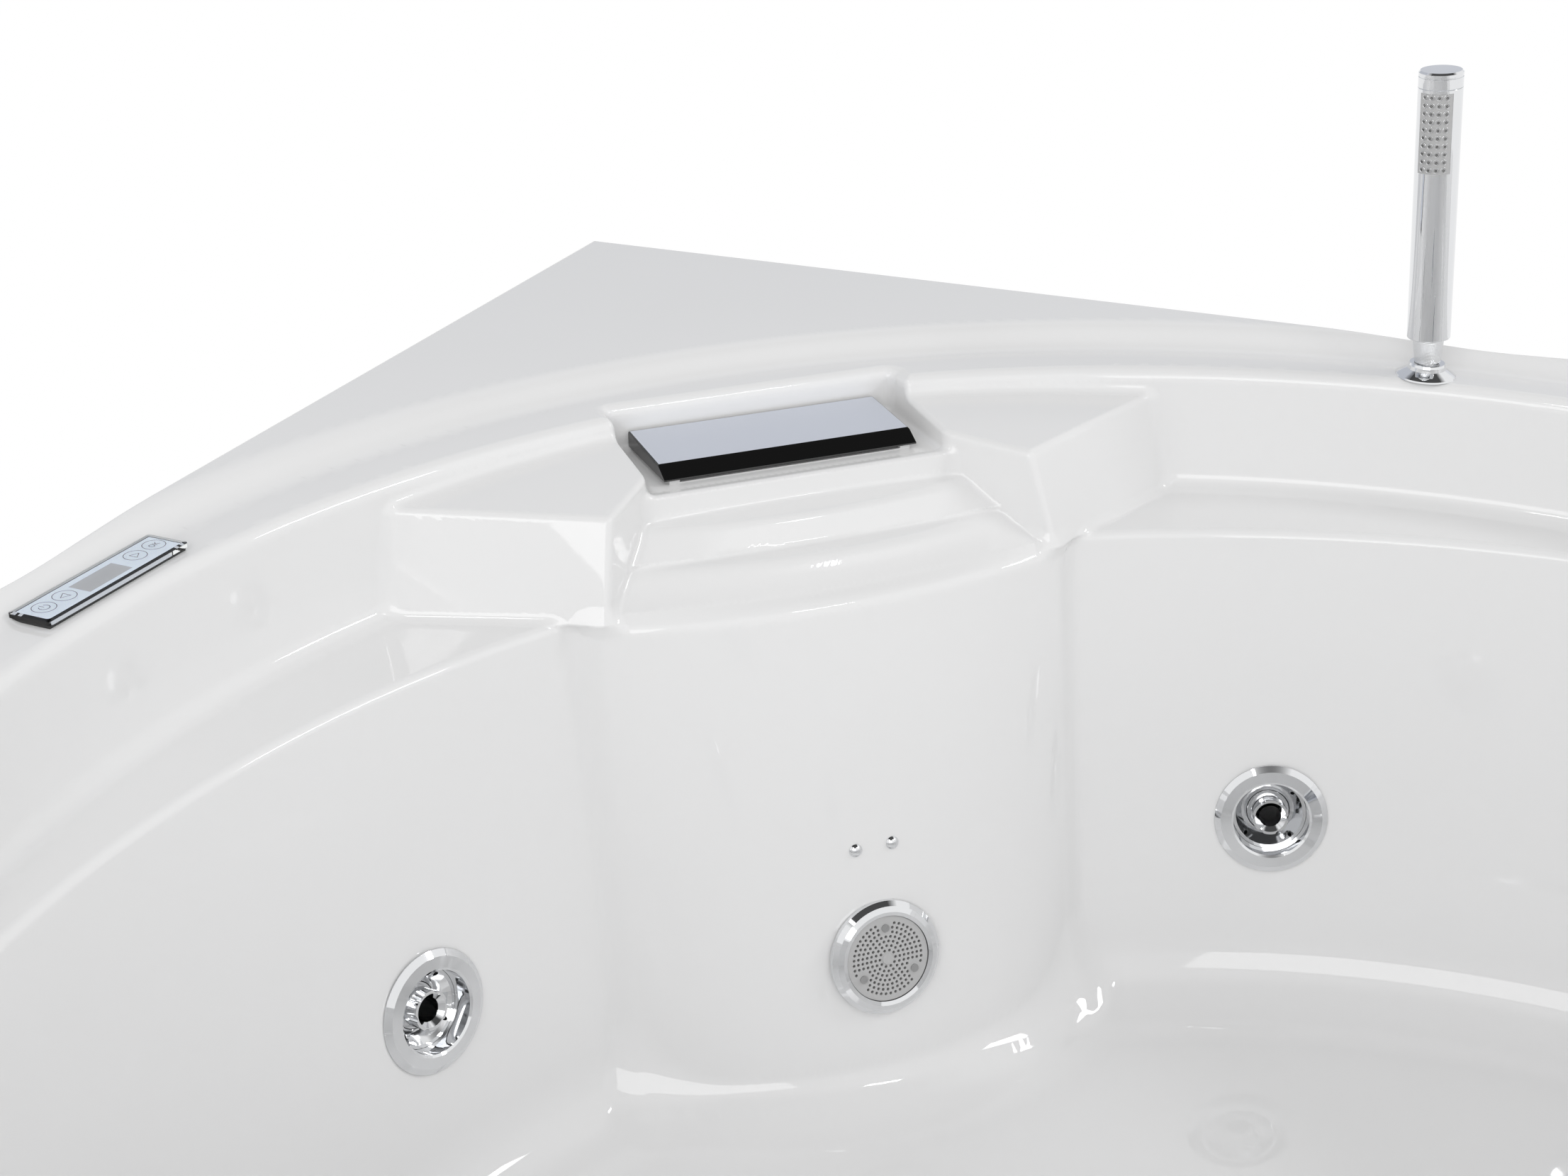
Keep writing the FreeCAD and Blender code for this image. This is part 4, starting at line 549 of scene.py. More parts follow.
def settle(points):
    """Draw points onto the surface and return them with their normals."""
    points = points.copy()
    for _ in range(SETTLE_ROUNDS):
        value = moulding(*points.T)
        slope = slope_of(moulding, points)
        move = slope * (value / np.maximum((slope ** 2).sum(1), LEAST_SLOPE))[:, None]
        points -= np.clip(move, -LONGEST_MOVE, LONGEST_MOVE)
    slope = slope_of(moulding, points)
    return points, slope / np.linalg.norm(slope, axis=1)[:, None]


net, quads = surface_net(values, (across, across, upright))
net = np.stack([(net[:, 0] - net[:, 1]) * ROOT, (net[:, 0] + net[:, 1]) * ROOT, net[:, 2]], 1)
net, normals = settle(net)
print("net", len(net), "points,", len(quads), "quads, largest error",
      round(float(np.abs(moulding(*net.T)).max()), 3), "mm")

# %% [markdown]
# Fittings pass through the shell.  Their holes are opened by leaving out the quads around each
# axis; the flanges cover the edges, as they do on the real bath.


# %% Places of the fittings, from the frame
def middle_of(name):
    low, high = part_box(name)
    return (low + high) / 2


def axis_of(name):
    """The middle of a flat round piece and its axis: the way in which it spreads least."""
    mesh = nodes[name].data
    centre = middle_of(name)
    points = np.array([v.co for v in mesh.vertices]) - np.array(centre)
    spread = np.linalg.eigh(points.T @ points)[1]
    return centre, Vector(spread[:, 0])


JETS = ("back_left", "back_right", "side_left", "side_right", "front_left", "front_right")
PIVOT_TO_WALL = 24.0
JET_HOLE, SUCTION_HOLE, OVERFLOW_HOLE, WASTE_HOLE = 28.5, 30.0, 27.0, 28.0
HOLE_REACH = 0.03


def turning_frame(joint_name):
    """The pivot and axis of a joint."""
    joint = next(j for j in frame["joints"] if j["name"] == joint_name)
    return Vector(joint["pos_m"]), Vector(joint["axis"])


def jet_frame(jet):
    """Where a jet's axis meets the wall, and its direction into the bath."""
    pivot, level = turning_frame("nozzle_tilt_" + jet)
    flange = middle_of("jet_flange_" + jet)
    inward = flange - pivot
    inward = (inward - level * inward.dot(level)).normalized()
    return pivot + inward * PIVOT_TO_WALL * MM, inward


holes = [(*jet_frame(jet), JET_HOLE) for jet in JETS]
suction_centre, suction_axis = axis_of("suction_cover")
overflow_pivot, overflow_axis = turning_frame("overflow_turn")
waste_centre = middle_of("waste_flange")
holes.append((suction_centre, suction_axis, SUCTION_HOLE))
holes.append((overflow_pivot, overflow_axis, OVERFLOW_HOLE))
holes.append((Vector((waste_centre.x, waste_centre.y, FLOOR * MM)), Vector((0, 0, 1)), WASTE_HOLE))
open_here = np.zeros(len(net), bool)
for centre, axis, radius in holes:
    offset = net * MM - np.array(centre)
    along = offset @ np.array(axis)
    away = np.linalg.norm(offset - along[:, None] * np.array(axis), axis=1)
    open_here |= (away < radius * MM) & (np.abs(along) < HOLE_REACH)

# only the visible side is kept: the deck down to its lip's foot, and the bowl's own wall
LIP_MARGIN, WALL_DEPTH, FLOOR_DEPTH = 1, 4.0, 6
keep = ~open_here[quads].any(1)
middle = net[quads].mean(1)
keep &= (middle[:, 2] > LIP_FOOT + LIP_MARGIN) | (space(*middle.T) < WALL_DEPTH)
keep &= middle[:, 2] > FLOOR - FLOOR_DEPTH
quads = quads[keep]
print(int(open_here.sum()), "points in the holes of", len(holes), "fittings")

# %% [markdown]
# The sheet gets its thickness: a second skin one sheet behind the first, and a strip round every
# free edge.  The shading normals come from the field itself, so reflections run without facets.

# %% Thickness, rim strips and the mesh
SHEET = 6.0
SHARP_TURN = math.cos(math.radians(14.0))


def free_edges(faces):
    """Edges that belong to a single face, in that face's direction."""
    ways = np.concatenate([faces[:, [k, (k + 1) % 4]] for k in range(4)])
    keys = np.sort(ways, 1)
    _, first, times = np.unique(keys, axis=0, return_index=True, return_counts=True)
    return ways[first[times == 1]]


def compact(points, faces, extra):
    """Leave out the points that no face uses, and their values in extra."""
    used, packed = np.unique(faces, return_inverse=True)
    return points[used], packed.reshape(faces.shape), extra[used]


def refine(points, faces, normals):
    """Split each quad that bends into four; its flat neighbours just take in the new corners."""
    bend = np.min([(normals[faces[:, k]] * normals[faces[:, (k + 1) % 4]]).sum(1)
                   for k in range(4)], 0)
    split = bend < SHARP_TURN
    ways = np.stack([np.sort(faces[:, [k, (k + 1) % 4]], 1) for k in range(4)], 1)
    keys, number = np.unique(ways.reshape(-1, 2), axis=0, return_inverse=True)
    number = number.reshape(-1, 4)
    parted = np.zeros(len(keys), bool)
    parted[number[split]] = True
    new_edge = np.full(len(keys), -1)
    new_edge[parted] = len(points) + np.arange(parted.sum())
    halves = points[keys[parted]].mean(1)
    centres = points[faces[split]].mean(1)
    added, added_normals = settle(np.concatenate([halves, centres]))
    centre_of = np.full(len(faces), -1)
    centre_of[split] = len(points) + len(halves) + np.arange(split.sum())
    made = []
    for face, sides, hub in zip(faces.tolist(), new_edge[number].tolist(), centre_of.tolist()):
        if hub >= 0:
            made.extend([face[k], sides[k], hub, sides[k - 1]] for k in range(4))
        else:
            loop = []
            for corner, half in zip(face, sides):
                loop.append(corner)
                if half >= 0:
                    loop.append(half)
            made.append(loop)
    return np.concatenate([points, added]), made, np.concatenate([normals, added_normals])


net, quads, normals = compact(net, quads, normals)
edges = free_edges(quads)
front, front_faces, front_normals = refine(net, quads, normals)
behind = net - normals * SHEET
behind[:, 2] = np.minimum(behind[:, 2], DECK)
points = np.concatenate([front, behind])
count = len(front)
strips = np.stack([edges[:, 1], edges[:, 0], edges[:, 0] + count, edges[:, 1] + count], 1)
faces = front_faces + (quads[:, ::-1] + count).tolist() + strips.tolist()
vertex_normals = np.concatenate([front_normals, -normals])

shell_mesh = bpy.data.meshes.new("bath_shell_moulded")
shell_mesh.from_pydata((points * MM).tolist(), [], faces)
shell_mesh.shade_smooth()
loops = np.empty(len(shell_mesh.loops), np.int32)
shell_mesh.loops.foreach_get("vertex_index", loops)
corner_normals = vertex_normals[loops]
corner_normals[-len(strips) * 4:] = 0.0
shell_mesh.normals_split_custom_set(corner_normals.tolist())
shell = bpy.data.objects.new("bath_shell_moulded", shell_mesh)
bpy.context.scene.collection.objects.link(shell)
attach(shell, "bath")
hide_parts("bath_shell")
print("shell", len(points), "points", len(faces), "faces")

# %% [markdown]
# White acrylic.  It is the same white all through, with a gloss that is almost a mirror, a hint
# of orange peel from the vacuum forming and, where hands and cloths pass, slightly duller
# patches.


# %% White acrylic
def acrylic():
    f = Finish("white_acrylic_gloss")
    haze = f.noise(6.0, 3.0)
    peel = f.noise(190.0, 1.0)
    return f.set(
        Base_Color=f.mix(haze, grey(0.80), grey(0.82, (0.0, 0.0, 0.002))),
        Roughness=0.02 + haze * 0.03,
        IOR=1.49,
        Normal=f.bump(peel, 0.00003, 0.25),
    ).material


# %% [markdown]
# Chrome is a mirror with almost no colour of its own.  Its life comes from what it reflects, so
# the finish only adds faint wipe marks to the roughness.

# %% Metals and plastics
WIPE_SCALE, GRAIN_SCALE, PATCH_SCALE = 40.0, 400.0, 14.0
GRAIN_DEPTH, PATCH_DULLNESS, PATCH_SHADE = 0.00004, 0.1, 0.92


def metal(name, level, rough, tint=(0.0, 0.0, 0.0), marks=0.05):
    f = Finish(name)
    wipe = f.noise(WIPE_SCALE, 3.0)
    return f.set(
        Base_Color=f.mix(wipe, grey(level, tint), grey(level * 0.96, tint)),
        Metallic=1.0,
        Roughness=rough + wipe * marks,
    ).material


def plastic(name, colour, rough):
    f = Finish(name)
    speck = f.noise(GRAIN_SCALE, 2.0)
    patch = f.noise(PATCH_SCALE, 3.0)
    dark = tuple(c * PATCH_SHADE for c in colour[:3]) + (1.0,)
    return f.set(
        Base_Color=f.mix(patch, colour, dark),
        Roughness=rough + patch * PATCH_DULLNESS,
        Normal=f.bump(speck, GRAIN_DEPTH, 0.6),
    ).material


def galvanised():
    f = Finish("galvanised_steel_spangle")
    cells = f.node("ShaderNodeTexVoronoi", {"feature": "F1"}, "Color", Vector=f.place(),
                   Scale=90.0)
    shade = f.node("ShaderNodeSeparateColor", None, 0, Color=cells)
    return f.set(
        Base_Color=f.mix(shade, grey(0.50), grey(0.66)),
        Metallic=1.0,
        Roughness=0.38 + shade * 0.2,
    ).material


def chipboard():
    f = Finish("chipboard")
    chips = f.node("ShaderNodeTexVoronoi", {"feature": "F1"}, "Color", Vector=f.place(),
                   Scale=240.0)
    shade = f.node("ShaderNodeSeparateColor", None, 0, Color=chips)
    return f.set(
        Base_Color=f.mix(shade, (0.30, 0.19, 0.09, 1.0), (0.55, 0.40, 0.23, 1.0)),
        Roughness=0.8 + shade * 0.1,
        Normal=f.bump(shade, 0.0004, 0.5),
    ).material


def glass():
    f = Finish("pale_panel_glass")
    wipe = f.noise(30.0, 2.0)
    return f.set(
        Base_Color=f.mix(wipe, (0.72, 0.79, 0.88, 1.0), (0.75, 0.81, 0.89, 1.0)),
        Roughness=0.05 + wipe * 0.04,
        IOR=1.5,
    ).material


finishes = {
    "white_acrylic": acrylic(),
    "galvanised_steel": galvanised(),
    "foot_plastic": plastic("black_foot_plastic", grey(0.03), 0.5),
    "zinc_steel": metal("zinc_plated_steel", 0.62, 0.3, (0.01, 0.01, 0.0)),
    "board": chipboard(),
    "chrome": metal("polished_chrome", 0.80, 0.03, (-0.008, 0.0, 0.012), 0.03),
    "chromed_plastic": metal("chromed_plastic", 0.74, 0.05, (-0.006, 0.0, 0.01), 0.05),
    "satin_grey": plastic("satin_grey_plastic", grey(0.50), 0.3),
    "steel_screws": metal("screw_steel", 0.5, 0.25),
    "spray_plastic": plastic("spray_plate_grey", grey(0.48), 0.35),
    "brass": metal("bare_brass", 0.5, 0.3, (0.22, 0.08, -0.2)),
    "panel_glass": glass(),
    "display_grey": plastic("display_grey", grey(0.90, (0.02, -0.01, 0.0)), 0.15),
    "black_plastic": plastic("black_plastic", grey(0.03), 0.45),
    "white_pipe": plastic("white_pipe_plastic", grey(0.72), 0.4),
    "motor_paint": plastic("motor_blue_paint", (0.03, 0.05, 0.09, 1.0), 0.35),
    "pump_plastic": plastic("pump_black_plastic", grey(0.025), 0.4),
}
slot_of = {part["node"]: part["material_slot"] for part in frame["record"]["subparts"]}


def dress(thing, finish):
    """Give every slot of an object one finish."""
    thing.data.materials.clear()
    thing.data.materials.append(finish)


for name, thing in nodes.items():
    dress(thing, finishes[slot_of[name]])
dress(shell, finishes["white_acrylic"])
print(len(finishes), "finishes")

# %% [markdown]
# Small pieces are built from stacked outlines: each outline is a closed ring of points,
# neighbouring rings are bridged, and the first and the last are capped.

# %% Small pieces
def build(name, points, faces, finish, body):
    """A new piece from points in metres, with its finish, riding on a body."""
    mesh = bpy.data.meshes.new(name)
    mesh.from_pydata([tuple(point) for point in points], [], faces)
    mesh.update()
    thing = bpy.data.objects.new(name, mesh)
    bpy.context.scene.collection.objects.link(thing)
    dress(thing, finish)
    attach(thing, body)
    print(name, len(points), "points")
    return thing


def bridge(count, rings):
    """Quads between neighbouring rings of equal count."""
    quads = []
    for level in range(rings - 1):
        for k in range(count):
            a, b = level * count + k, level * count + (k + 1) % count
            quads.append((a, b, b + count, a + count))
    return quads


CORNER_STEPS = 5


def rounded(half_length, half_width, radius):
    """A rectangle with round corners, as points in the plane."""
    outline_points = []
    for way_x, way_y, start in ((1, 1, 0), (-1, 1, 90), (-1, -1, 180), (1, -1, 270)):
        for k in range(CORNER_STEPS + 1):
            turn = math.radians(start + 90.0 * k / CORNER_STEPS)
            outline_points.append((way_x * (half_length - radius) + radius * math.cos(turn),
                                   way_y * (half_width - radius) + radius * math.sin(turn)))
    return outline_points


# %% [markdown]
# The touch panel.  The real one is a slab of clear glass with a ground edge, a pale film stuck
# under it with a window for the display, and signs printed in fine lines.  It could be one
# textured box, but the clear bevel is what makes it read as glass, so slab, film and signs are
# three pieces.

# %% Touch panel
def clear_glass():
    f = Finish("clear_panel_glass")
    wipe = f.noise(30.0, 2.0)
    return f.set(Base_Color=grey(0.97, (-0.02, 0.0, 0.0)), Roughness=0.01 + wipe * 0.02, IOR=1.5,
                 Transmission_Weight=1.0).material


def pale_film_painted_glow():
    f = Finish("pale_blue_film_painted_glow")
    patch = f.noise(25.0, 2.0)
    tone = f.mix(patch, (0.84, 0.90, 1.0, 1.0), (0.80, 0.87, 0.98, 1.0))
    # painted glow: the film emits light of its own colour, so it stays bright under the glass, though it is no
    # lamp
    return f.set(Base_Color=tone, Roughness=0.4, Emission_Color=tone,
                 Emission_Strength=0.40).material


GLASS_LENGTH, GLASS_WIDTH, GLASS_BEVEL = 57.5, 14.0, 1.8
GLASS_CORNER, GLASS_EDGE = 2.0, 0.8
GLASS_GAP, FILM_HEIGHT, INK_HEIGHT = 0.3, 0.15, 0.03
FILM_INSET, FILM_CORNER = 2.6, 0.8
WINDOW_LENGTH, WINDOW_WIDTH, WINDOW_CORNER = 17.5, 7.3, 0.1
glass_low, glass_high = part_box("control_glass")
panel_middle = middle_of("control_glass")
plan_points = np.array([v.co for v in nodes["control_glass"].data.vertices])[:, :2]
plan_points = plan_points - np.array(panel_middle)[:2]
long_way = np.linalg.eigh(plan_points.T @ plan_points)[1][:, 1]
long_way = Vector((*(long_way * np.sign(long_way[0])), 0.0))
wide_way = Vector((-long_way.y, long_way.x, 0.0))


def on_glass(u, v, height):
    """A point of the panel: along, across (mm) and height above the floor (m)."""
    spot = panel_middle + long_way * u * MM + wide_way * v * MM
    return (spot.x, spot.y, height)


levels = ((GLASS_LENGTH, GLASS_WIDTH, glass_low.z + GLASS_GAP * MM),
          (GLASS_LENGTH, GLASS_WIDTH, glass_high.z - GLASS_EDGE * MM),
          (GLASS_LENGTH - GLASS_BEVEL, GLASS_WIDTH - GLASS_BEVEL, glass_high.z))
points = []
for half_length, half_width, height in levels:
    plan = rounded(half_length, half_width, GLASS_CORNER)
    points += [on_glass(u, v, height) for u, v in plan]
count = len(plan)
faces = bridge(count, 3) + [tuple(reversed(range(count))), tuple(range(2 * count, 3 * count))]
touch_glass = build("touch_glass", points, faces, clear_glass(), "bath")
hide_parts("control_glass")

film_outer = rounded(GLASS_LENGTH - FILM_INSET, GLASS_WIDTH - FILM_INSET, FILM_CORNER)
film_inner = rounded(WINDOW_LENGTH, WINDOW_WIDTH, WINDOW_CORNER)
film_z = glass_low.z + FILM_HEIGHT * MM
points = [on_glass(u, v, film_z) for u, v in film_outer + film_inner]
film = build("touch_film", points, bridge(len(film_outer), 2), pale_film_painted_glow(), "bath")

# %% [markdown]
# The signs are printed on the glass with lines less than half a millimetre wide.  A font or an
# image would do for a distant view.  Here each line is its own thin strip of mesh, which stays
# sharp at any distance.

# %% Printed signs
LINE, ARC_PARTS = 0.42, 40
OUTER_KEY, INNER_KEY, KEY_RADIUS = 45.0, 29.0, 6.5
signs = []


def stroke(*path, closed=False):
    """A fine printed line through the points."""
    spots = [Vector(p) for p in path]
    for start, end in zip(spots, spots[1:] + (spots[:1] if closed else [])):
        along = (end - start).normalized() * LINE / 2
        side = Vector((-along.y, along.x))
        signs.append((start - along - side, end + along - side, end + along + side,
                      start - along + side))


def arc(u, v, radius, start, end, closed=False, flat=1.0):
    """A part of a circle from fine lines; flat squeezes it sideways."""
    turns = [math.radians(start + (end - start) * k / ARC_PARTS)
             for k in range(ARC_PARTS + (not closed))]
    stroke(*[(u + radius * flat * math.cos(a), v + radius * math.sin(a)) for a in turns],
           closed=closed)


for u in (-OUTER_KEY, -INNER_KEY, INNER_KEY, OUTER_KEY):
    arc(u, 0.0, KEY_RADIUS, 0.0, 360.0, closed=True)

# on and off: a broken ring with a bar
arc(-OUTER_KEY, -0.2, 2.9, 130.0, 410.0)
stroke((-OUTER_KEY, 3.4), (-OUTER_KEY, 0.2))

# back and forward: two triangles
for way in (-1.0, 1.0):
    stroke((way * 32.2, 0.0), (way * 27.2, 2.7), (way * 27.2, -2.7), closed=True)

# the letters OK
arc(43.2, 0.0, 1.7, 0.0, 360.0, closed=True, flat=0.8)
stroke((45.7, 1.7), (45.7, -1.7))
stroke((48.0, 1.7), (45.9, -0.1))
stroke((46.6, 0.5), (48.1, -1.7))

points = [on_glass(corner.x, corner.y, glass_high.z + INK_HEIGHT * MM)
          for sign in signs for corner in sign]
faces = [tuple(range(4 * k, 4 * k + 4)) for k in range(len(signs))]
ink_finish = plastic("sign_ink", (0.17, 0.15, 0.15, 1.0), 0.3)
ink = build("touch_signs", points, faces, ink_finish, "bath")

# %% [markdown]
# The spray window.  Each nozzle is a soft tip in a bright collar.  A flat dark ring laid on each
# tip paints the shade of its bore, and no hole is cut.  The tips are part of the engineering model;
# here every tip gets its painted bore and its collar, forty of each, as two pieces.

# %% Nozzle bores and collars
NECK, NECK_LOW, STICK, STICK_RADIUS = 17.0, -11.0, 179.0, 14.2
SPRAY_BELOW_TOP, SPRAY_HEIGHT = 65.0, 52.0
SPRAY_FOOT = NECK + STICK - SPRAY_BELOW_TOP
ROWS, COLUMNS, COLUMN_TURN = 10, 4, 19.0
CIRCLE_STEPS = 12
# radius and height over the stick's face
BORE_SHADE_RING = ((0.80, 0.63), (0.32, 0.64))
COLLAR = ((2.05, -0.25), (1.95, 0.12), (1.72, 0.12), (1.60, -0.25))
stick_foot = middle_of("shower_neck")
stick_way = (middle_of("shower_cap") - stick_foot).normalized()
spray_way = Vector((-0.745, -0.667, 0.0))
spray_way = (spray_way - stick_way * spray_way.dot(stick_way)).normalized()
spray_side = stick_way.cross(spray_way)
stick_base = stick_foot - stick_way * (NECK_LOW + NECK) / 2 * MM


def nozzle(row, column):
    """Middle, outward way and side way of one nozzle, on the stick's face."""
    turn = math.radians((column - (COLUMNS - 1) / 2) * COLUMN_TURN)
    way = spray_way * math.cos(turn) + spray_side * math.sin(turn)
    height = SPRAY_FOOT + SPRAY_HEIGHT * (row + 0.5) / ROWS
    return stick_base + (stick_way * height + way * STICK_RADIUS) * MM, way, stick_way.cross(way)


def circle(spot, way, side, radius, lift):
    """Points of a circle around a nozzle's axis."""
    up = way.cross(side)
    turns = [2 * math.pi * k / CIRCLE_STEPS for k in range(CIRCLE_STEPS)]
    return [spot + (way * lift + side * radius * math.cos(a) + up * radius * math.sin(a)) * MM
            for a in turns]


def on_every_nozzle(name, profile, finish):
    """One piece with the same turned profile on each of the nozzles."""
    points, faces = [], []
    for row in range(ROWS):
        for column in range(COLUMNS):
            start = len(points)
            for radius, lift in profile:
                points.extend(circle(*nozzle(row, column), radius, lift))
            faces += [tuple(start + k for k in quad)
                      for quad in bridge(CIRCLE_STEPS, len(profile))]
    piece = build(name, points, faces, finish, "hand_shower")
    return piece


# a flat dark ring on each tip: painted shade of the bore
on_every_nozzle("spray_bores_painted_shade", BORE_SHADE_RING, finishes["black_plastic"])
on_every_nozzle("spray_collars", COLLAR, finishes["chromed_plastic"]).data.shade_smooth()


# %% [markdown]
# The neck of the hand shower is knurled so that wet fingers can turn it.  Real knurling is two
# crossed sets of rolled grooves; here two crossed waves around the stick's axis drive the bump.
# The spout's cover is bright on its flat top and dark on its sloping bevel, because each reflects
# another part of the room.  Its finish paints that reflection in: a dark colour on the bevel and a
# bright, even bluish top, told apart by the surface's direction, and its sharp edges get a narrow
# rounding.

# %% Knurled neck and the spout's cover
GROOVES_ROUND, GROOVES_UP, GROOVE_DEPTH = 48.0, 4800.0, 0.00012
FLAT_FROM, FLAT_RANGE = 0.93, 0.05
COVER_EDGE, COVER_EDGE_TURN = 0.5, 35.0


def knurled():
    f = Finish("knurled_chrome")
    where = f.node("ShaderNodeSeparateXYZ", None, 0, Vector=f.place()).socket.node
    x, y, z = (Wire(f.tree, where.outputs[k]) for k in range(3))
    turn = x.math("ARCTAN2", y - stick_foot.y, x - stick_foot.x)
    round_way = turn * GROOVES_ROUND
    up_way = z * GROOVES_UP
    grooves = (round_way + up_way).sine() * (round_way - up_way).sine()
    return f.set(
        Base_Color=grey(0.80, (-0.008, 0.0, 0.012)),
        Metallic=1.0,
        Roughness=0.08 + f.noise(40.0, 3.0) * 0.04,
        Normal=f.bump(grooves, GROOVE_DEPTH, 0.8),
    ).material


def spout_chrome_painted_reflection():
    """Painted reflection: a bright, even top and a dark bevel, told apart by the surface's direction."""
    f = Finish("spout_cover_painted_reflection")
    facing_way = f.node("ShaderNodeNewGeometry").socket.node.outputs["Normal"]
    upward = f.node("ShaderNodeSeparateXYZ", None, 2, Vector=Wire(f.tree, facing_way))
    top = ((upward - FLAT_FROM) / FLAT_RANGE).clamp()
    wipe = f.noise(40.0, 3.0)
    return f.set(
        # painted reflection: a dark colour on the bevel, pale bluish and less metallic on the top
        Base_Color=f.mix(top, grey(0.10), (0.68, 0.71, 0.78, 1.0)),
        Metallic=1.0 - top * 0.6,
        Roughness=0.05 + top * 0.42 + wipe * 0.03,
    ).material


dress(nodes["shower_neck"], knurled())
dress(nodes["waterfall_cover"], spout_chrome_painted_reflection())
edge_bevel = nodes["waterfall_cover"].modifiers.new("soft_edge", "BEVEL")
edge_bevel.width = COVER_EDGE * MM
edge_bevel.segments = 2
edge_bevel.limit_method = "ANGLE"
edge_bevel.angle_limit = math.radians(COVER_EDGE_TURN)
print("neck knurled, cover's edges rounded by", round(edge_bevel.width / MM, 2), "mm")

# %% [markdown]
# A studio for white goods: a pale floor that keeps the bath's shadow near it and runs out to pure
# white, a pale surround, and softboxes that leave small clear highlights in the gloss.

# %% Floor
FADE_FROM, FADE_RANGE = 1.05, 0.6


def floor_finish():
    """A matt floor that turns to plain white away from the bath, for camera, gloss and glass."""
    f = Finish("studio_floor")
    f.set(Base_Color=grey(0.86), Roughness=0.9)
    f.shader.inputs["Specular IOR Level"].default_value = 0.0
    white = f.tree.nodes.new("ShaderNodeEmission")
    where = f.node("ShaderNodeTexCoord", out="Object")
    reach = f.node("ShaderNodeVectorMath", {"operation": "LENGTH"}, "Value", Vector=where)
    fade = ((reach - FADE_FROM) / FADE_RANGE).clamp()
    rays = f.tree.nodes.new("ShaderNodeLightPath")
    seen = Wire(f.tree, rays.outputs["Is Camera Ray"])
    seen = seen.larger(Wire(f.tree, rays.outputs["Is Glossy Ray"]))
    seen = seen.larger(Wire(f.tree, rays.outputs["Is Transmission Ray"]))
    mixer = f.tree.nodes.new("ShaderNodeMixShader")
    plug(f.tree, mixer.inputs[0], fade * seen)
    f.tree.links.new(f.shader.outputs[0], mixer.inputs[1])
    f.tree.links.new(white.outputs[0], mixer.inputs[2])
    f.tree.links.new(mixer.outputs[0], f.end.inputs["Surface"])
    return f.material


bpy.ops.mesh.primitive_grid_add(x_subdivisions=4, y_subdivisions=4, size=60.0)
floor = bpy.context.object
floor.name = "studio_floor"
dress(floor, floor_finish())

# %% [markdown]
# The surround shows each kind of ray something else.  Plain light falls from all round and grows
# weaker towards straight above, so that upright walls do not look duller than the deck.  The
# camera and glass see pure white.  Mirrors and gloss see white near the horizon, a cool grey wall
# behind the bath and a dark ceiling, which is what gives chrome its dark streaks.

# %% Surround
world = bpy.data.worlds.new("studio")
bpy.context.scene.world = world
world.use_nodes = True
tree = world.node_tree
tree.nodes.clear()
AMBIENT, ZENITH_LEVEL = 1.2, 0.46
WALL_LEVEL, CEILING_LEVEL = 0.62, 0.08
COOL_WHITE = (0.95, 0.985, 1.07, 1.0)


def add(kind, **sockets):
    """A node of the surround."""
    made = tree.nodes.new(kind)
    for key, value in sockets.items():
        plug(tree, made.inputs[key], value)
    return made


def ramp_up(value, start, full):
    """0 below start, 1 above full."""
    return ((value - start) / (full - start)).clamp()


sky = Wire(tree, add("ShaderNodeTexCoord").outputs["Generated"])
direction = add("ShaderNodeSeparateXYZ", Vector=sky)
towards_back = Wire(tree, direction.outputs[1])
upwards = Wire(tree, direction.outputs[2])
wall = ramp_up(towards_back, start=0.35, full=0.6) * ramp_up(upwards, start=0.12, full=0.26)
ceiling = ramp_up(upwards, start=0.74, full=0.86)
mirrored = (1.0 - wall * (1.0 - WALL_LEVEL)) * (1.0 - ceiling * (1.0 - CEILING_LEVEL))
rays = add("ShaderNodeLightPath")
glossy = Wire(tree, rays.outputs["Is Glossy Ray"])
shown = glossy.larger(Wire(tree, rays.outputs["Is Camera Ray"]))
shown = shown.larger(Wire(tree, rays.outputs["Is Transmission Ray"]))
cool = add("ShaderNodeMix")
cool.data_type = "RGBA"
plug(tree, cool.inputs[MIX_SHARE], wall * glossy)
plug(tree, cool.inputs[MIX_FIRST], grey(1.0))
plug(tree, cool.inputs[MIX_SECOND], COOL_WHITE)
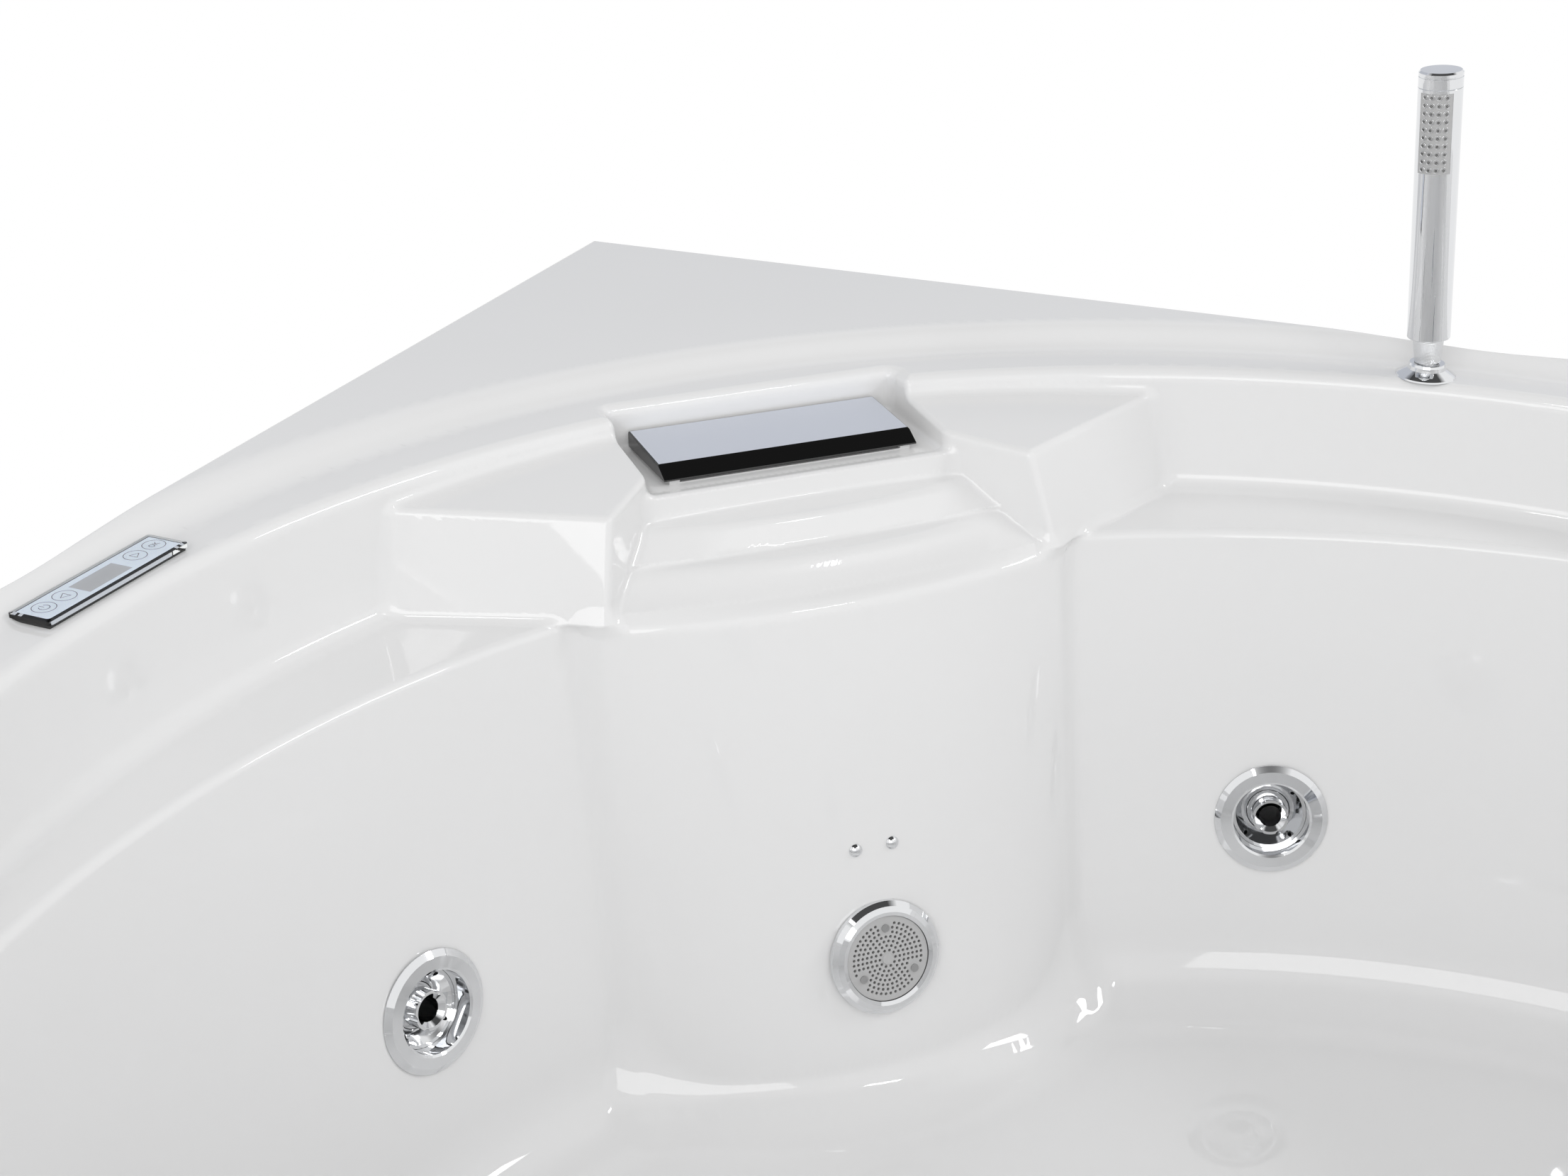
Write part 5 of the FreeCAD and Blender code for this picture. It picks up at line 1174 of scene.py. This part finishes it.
zenith = ramp_up(upwards, start=0.30, full=0.95)
plain = add("ShaderNodeBackground", Strength=AMBIENT * (1.0 - zenith * (1.0 - ZENITH_LEVEL)))
bright = add("ShaderNodeBackground", Color=Wire(tree, cool.outputs[MIX_RESULT]),
             Strength=1.0 - glossy * (1.0 - mirrored))
chooser = add("ShaderNodeMixShader", Fac=shown)
tree.links.new(plain.outputs[0], chooser.inputs[1])
tree.links.new(bright.outputs[0], chooser.inputs[2])
add("ShaderNodeOutputWorld", Surface=Wire(tree, chooser.outputs[0]))
print("surround: ambient", AMBIENT, "wall", WALL_LEVEL, "ceiling", CEILING_LEVEL)


# %% [markdown]
# Gloss shows lamps as shapes, so each softbox is placed for the highlight that it leaves.  The
# narrow ones on the right and on the left draw thin lines on rounded joints, a small one stands
# where the lips of the cascade mirror it, and a large one in front fills the walls that face it.

# %% Softboxes
AIM_HEIGHT = 0.45


def softbox(name, heading, rise, distance, width, height, power):
    """A rectangular lamp that faces the bowl, from a compass heading (0 is +Y, 90 is +X)."""
    lamp = bpy.data.lights.new(name, "AREA")
    lamp.shape = "RECTANGLE"
    lamp.size = width
    lamp.size_y = height
    lamp.energy = power
    thing = bpy.data.objects.new(name, lamp)
    bpy.context.scene.collection.objects.link(thing)
    turn, lift = math.radians(heading), math.radians(rise)
    level = math.cos(lift)
    aim = Vector((math.sin(turn) * level, math.cos(turn) * level, math.sin(lift)))
    thing.location = Vector((0.0, 0.0, AIM_HEIGHT)) + aim * distance
    thing.rotation_euler = aim.to_track_quat("Z", "Y").to_euler()
    print(name, "at", tuple(round(c, 2) for c in thing.location))


softbox("softbox_right", heading=106.0, rise=36.0, distance=3.6, width=1.0, height=0.25, power=16.0)
softbox("softbox_lips", heading=148.0, rise=52.0, distance=3.6, width=0.6, height=0.14, power=5.0)
softbox("softbox_left", heading=-115.0, rise=56.0, distance=3.6, width=0.8, height=0.25, power=7.0)
softbox("softbox_front", heading=214.0, rise=30.0, distance=3.2, width=2.6, height=1.4, power=30.0)
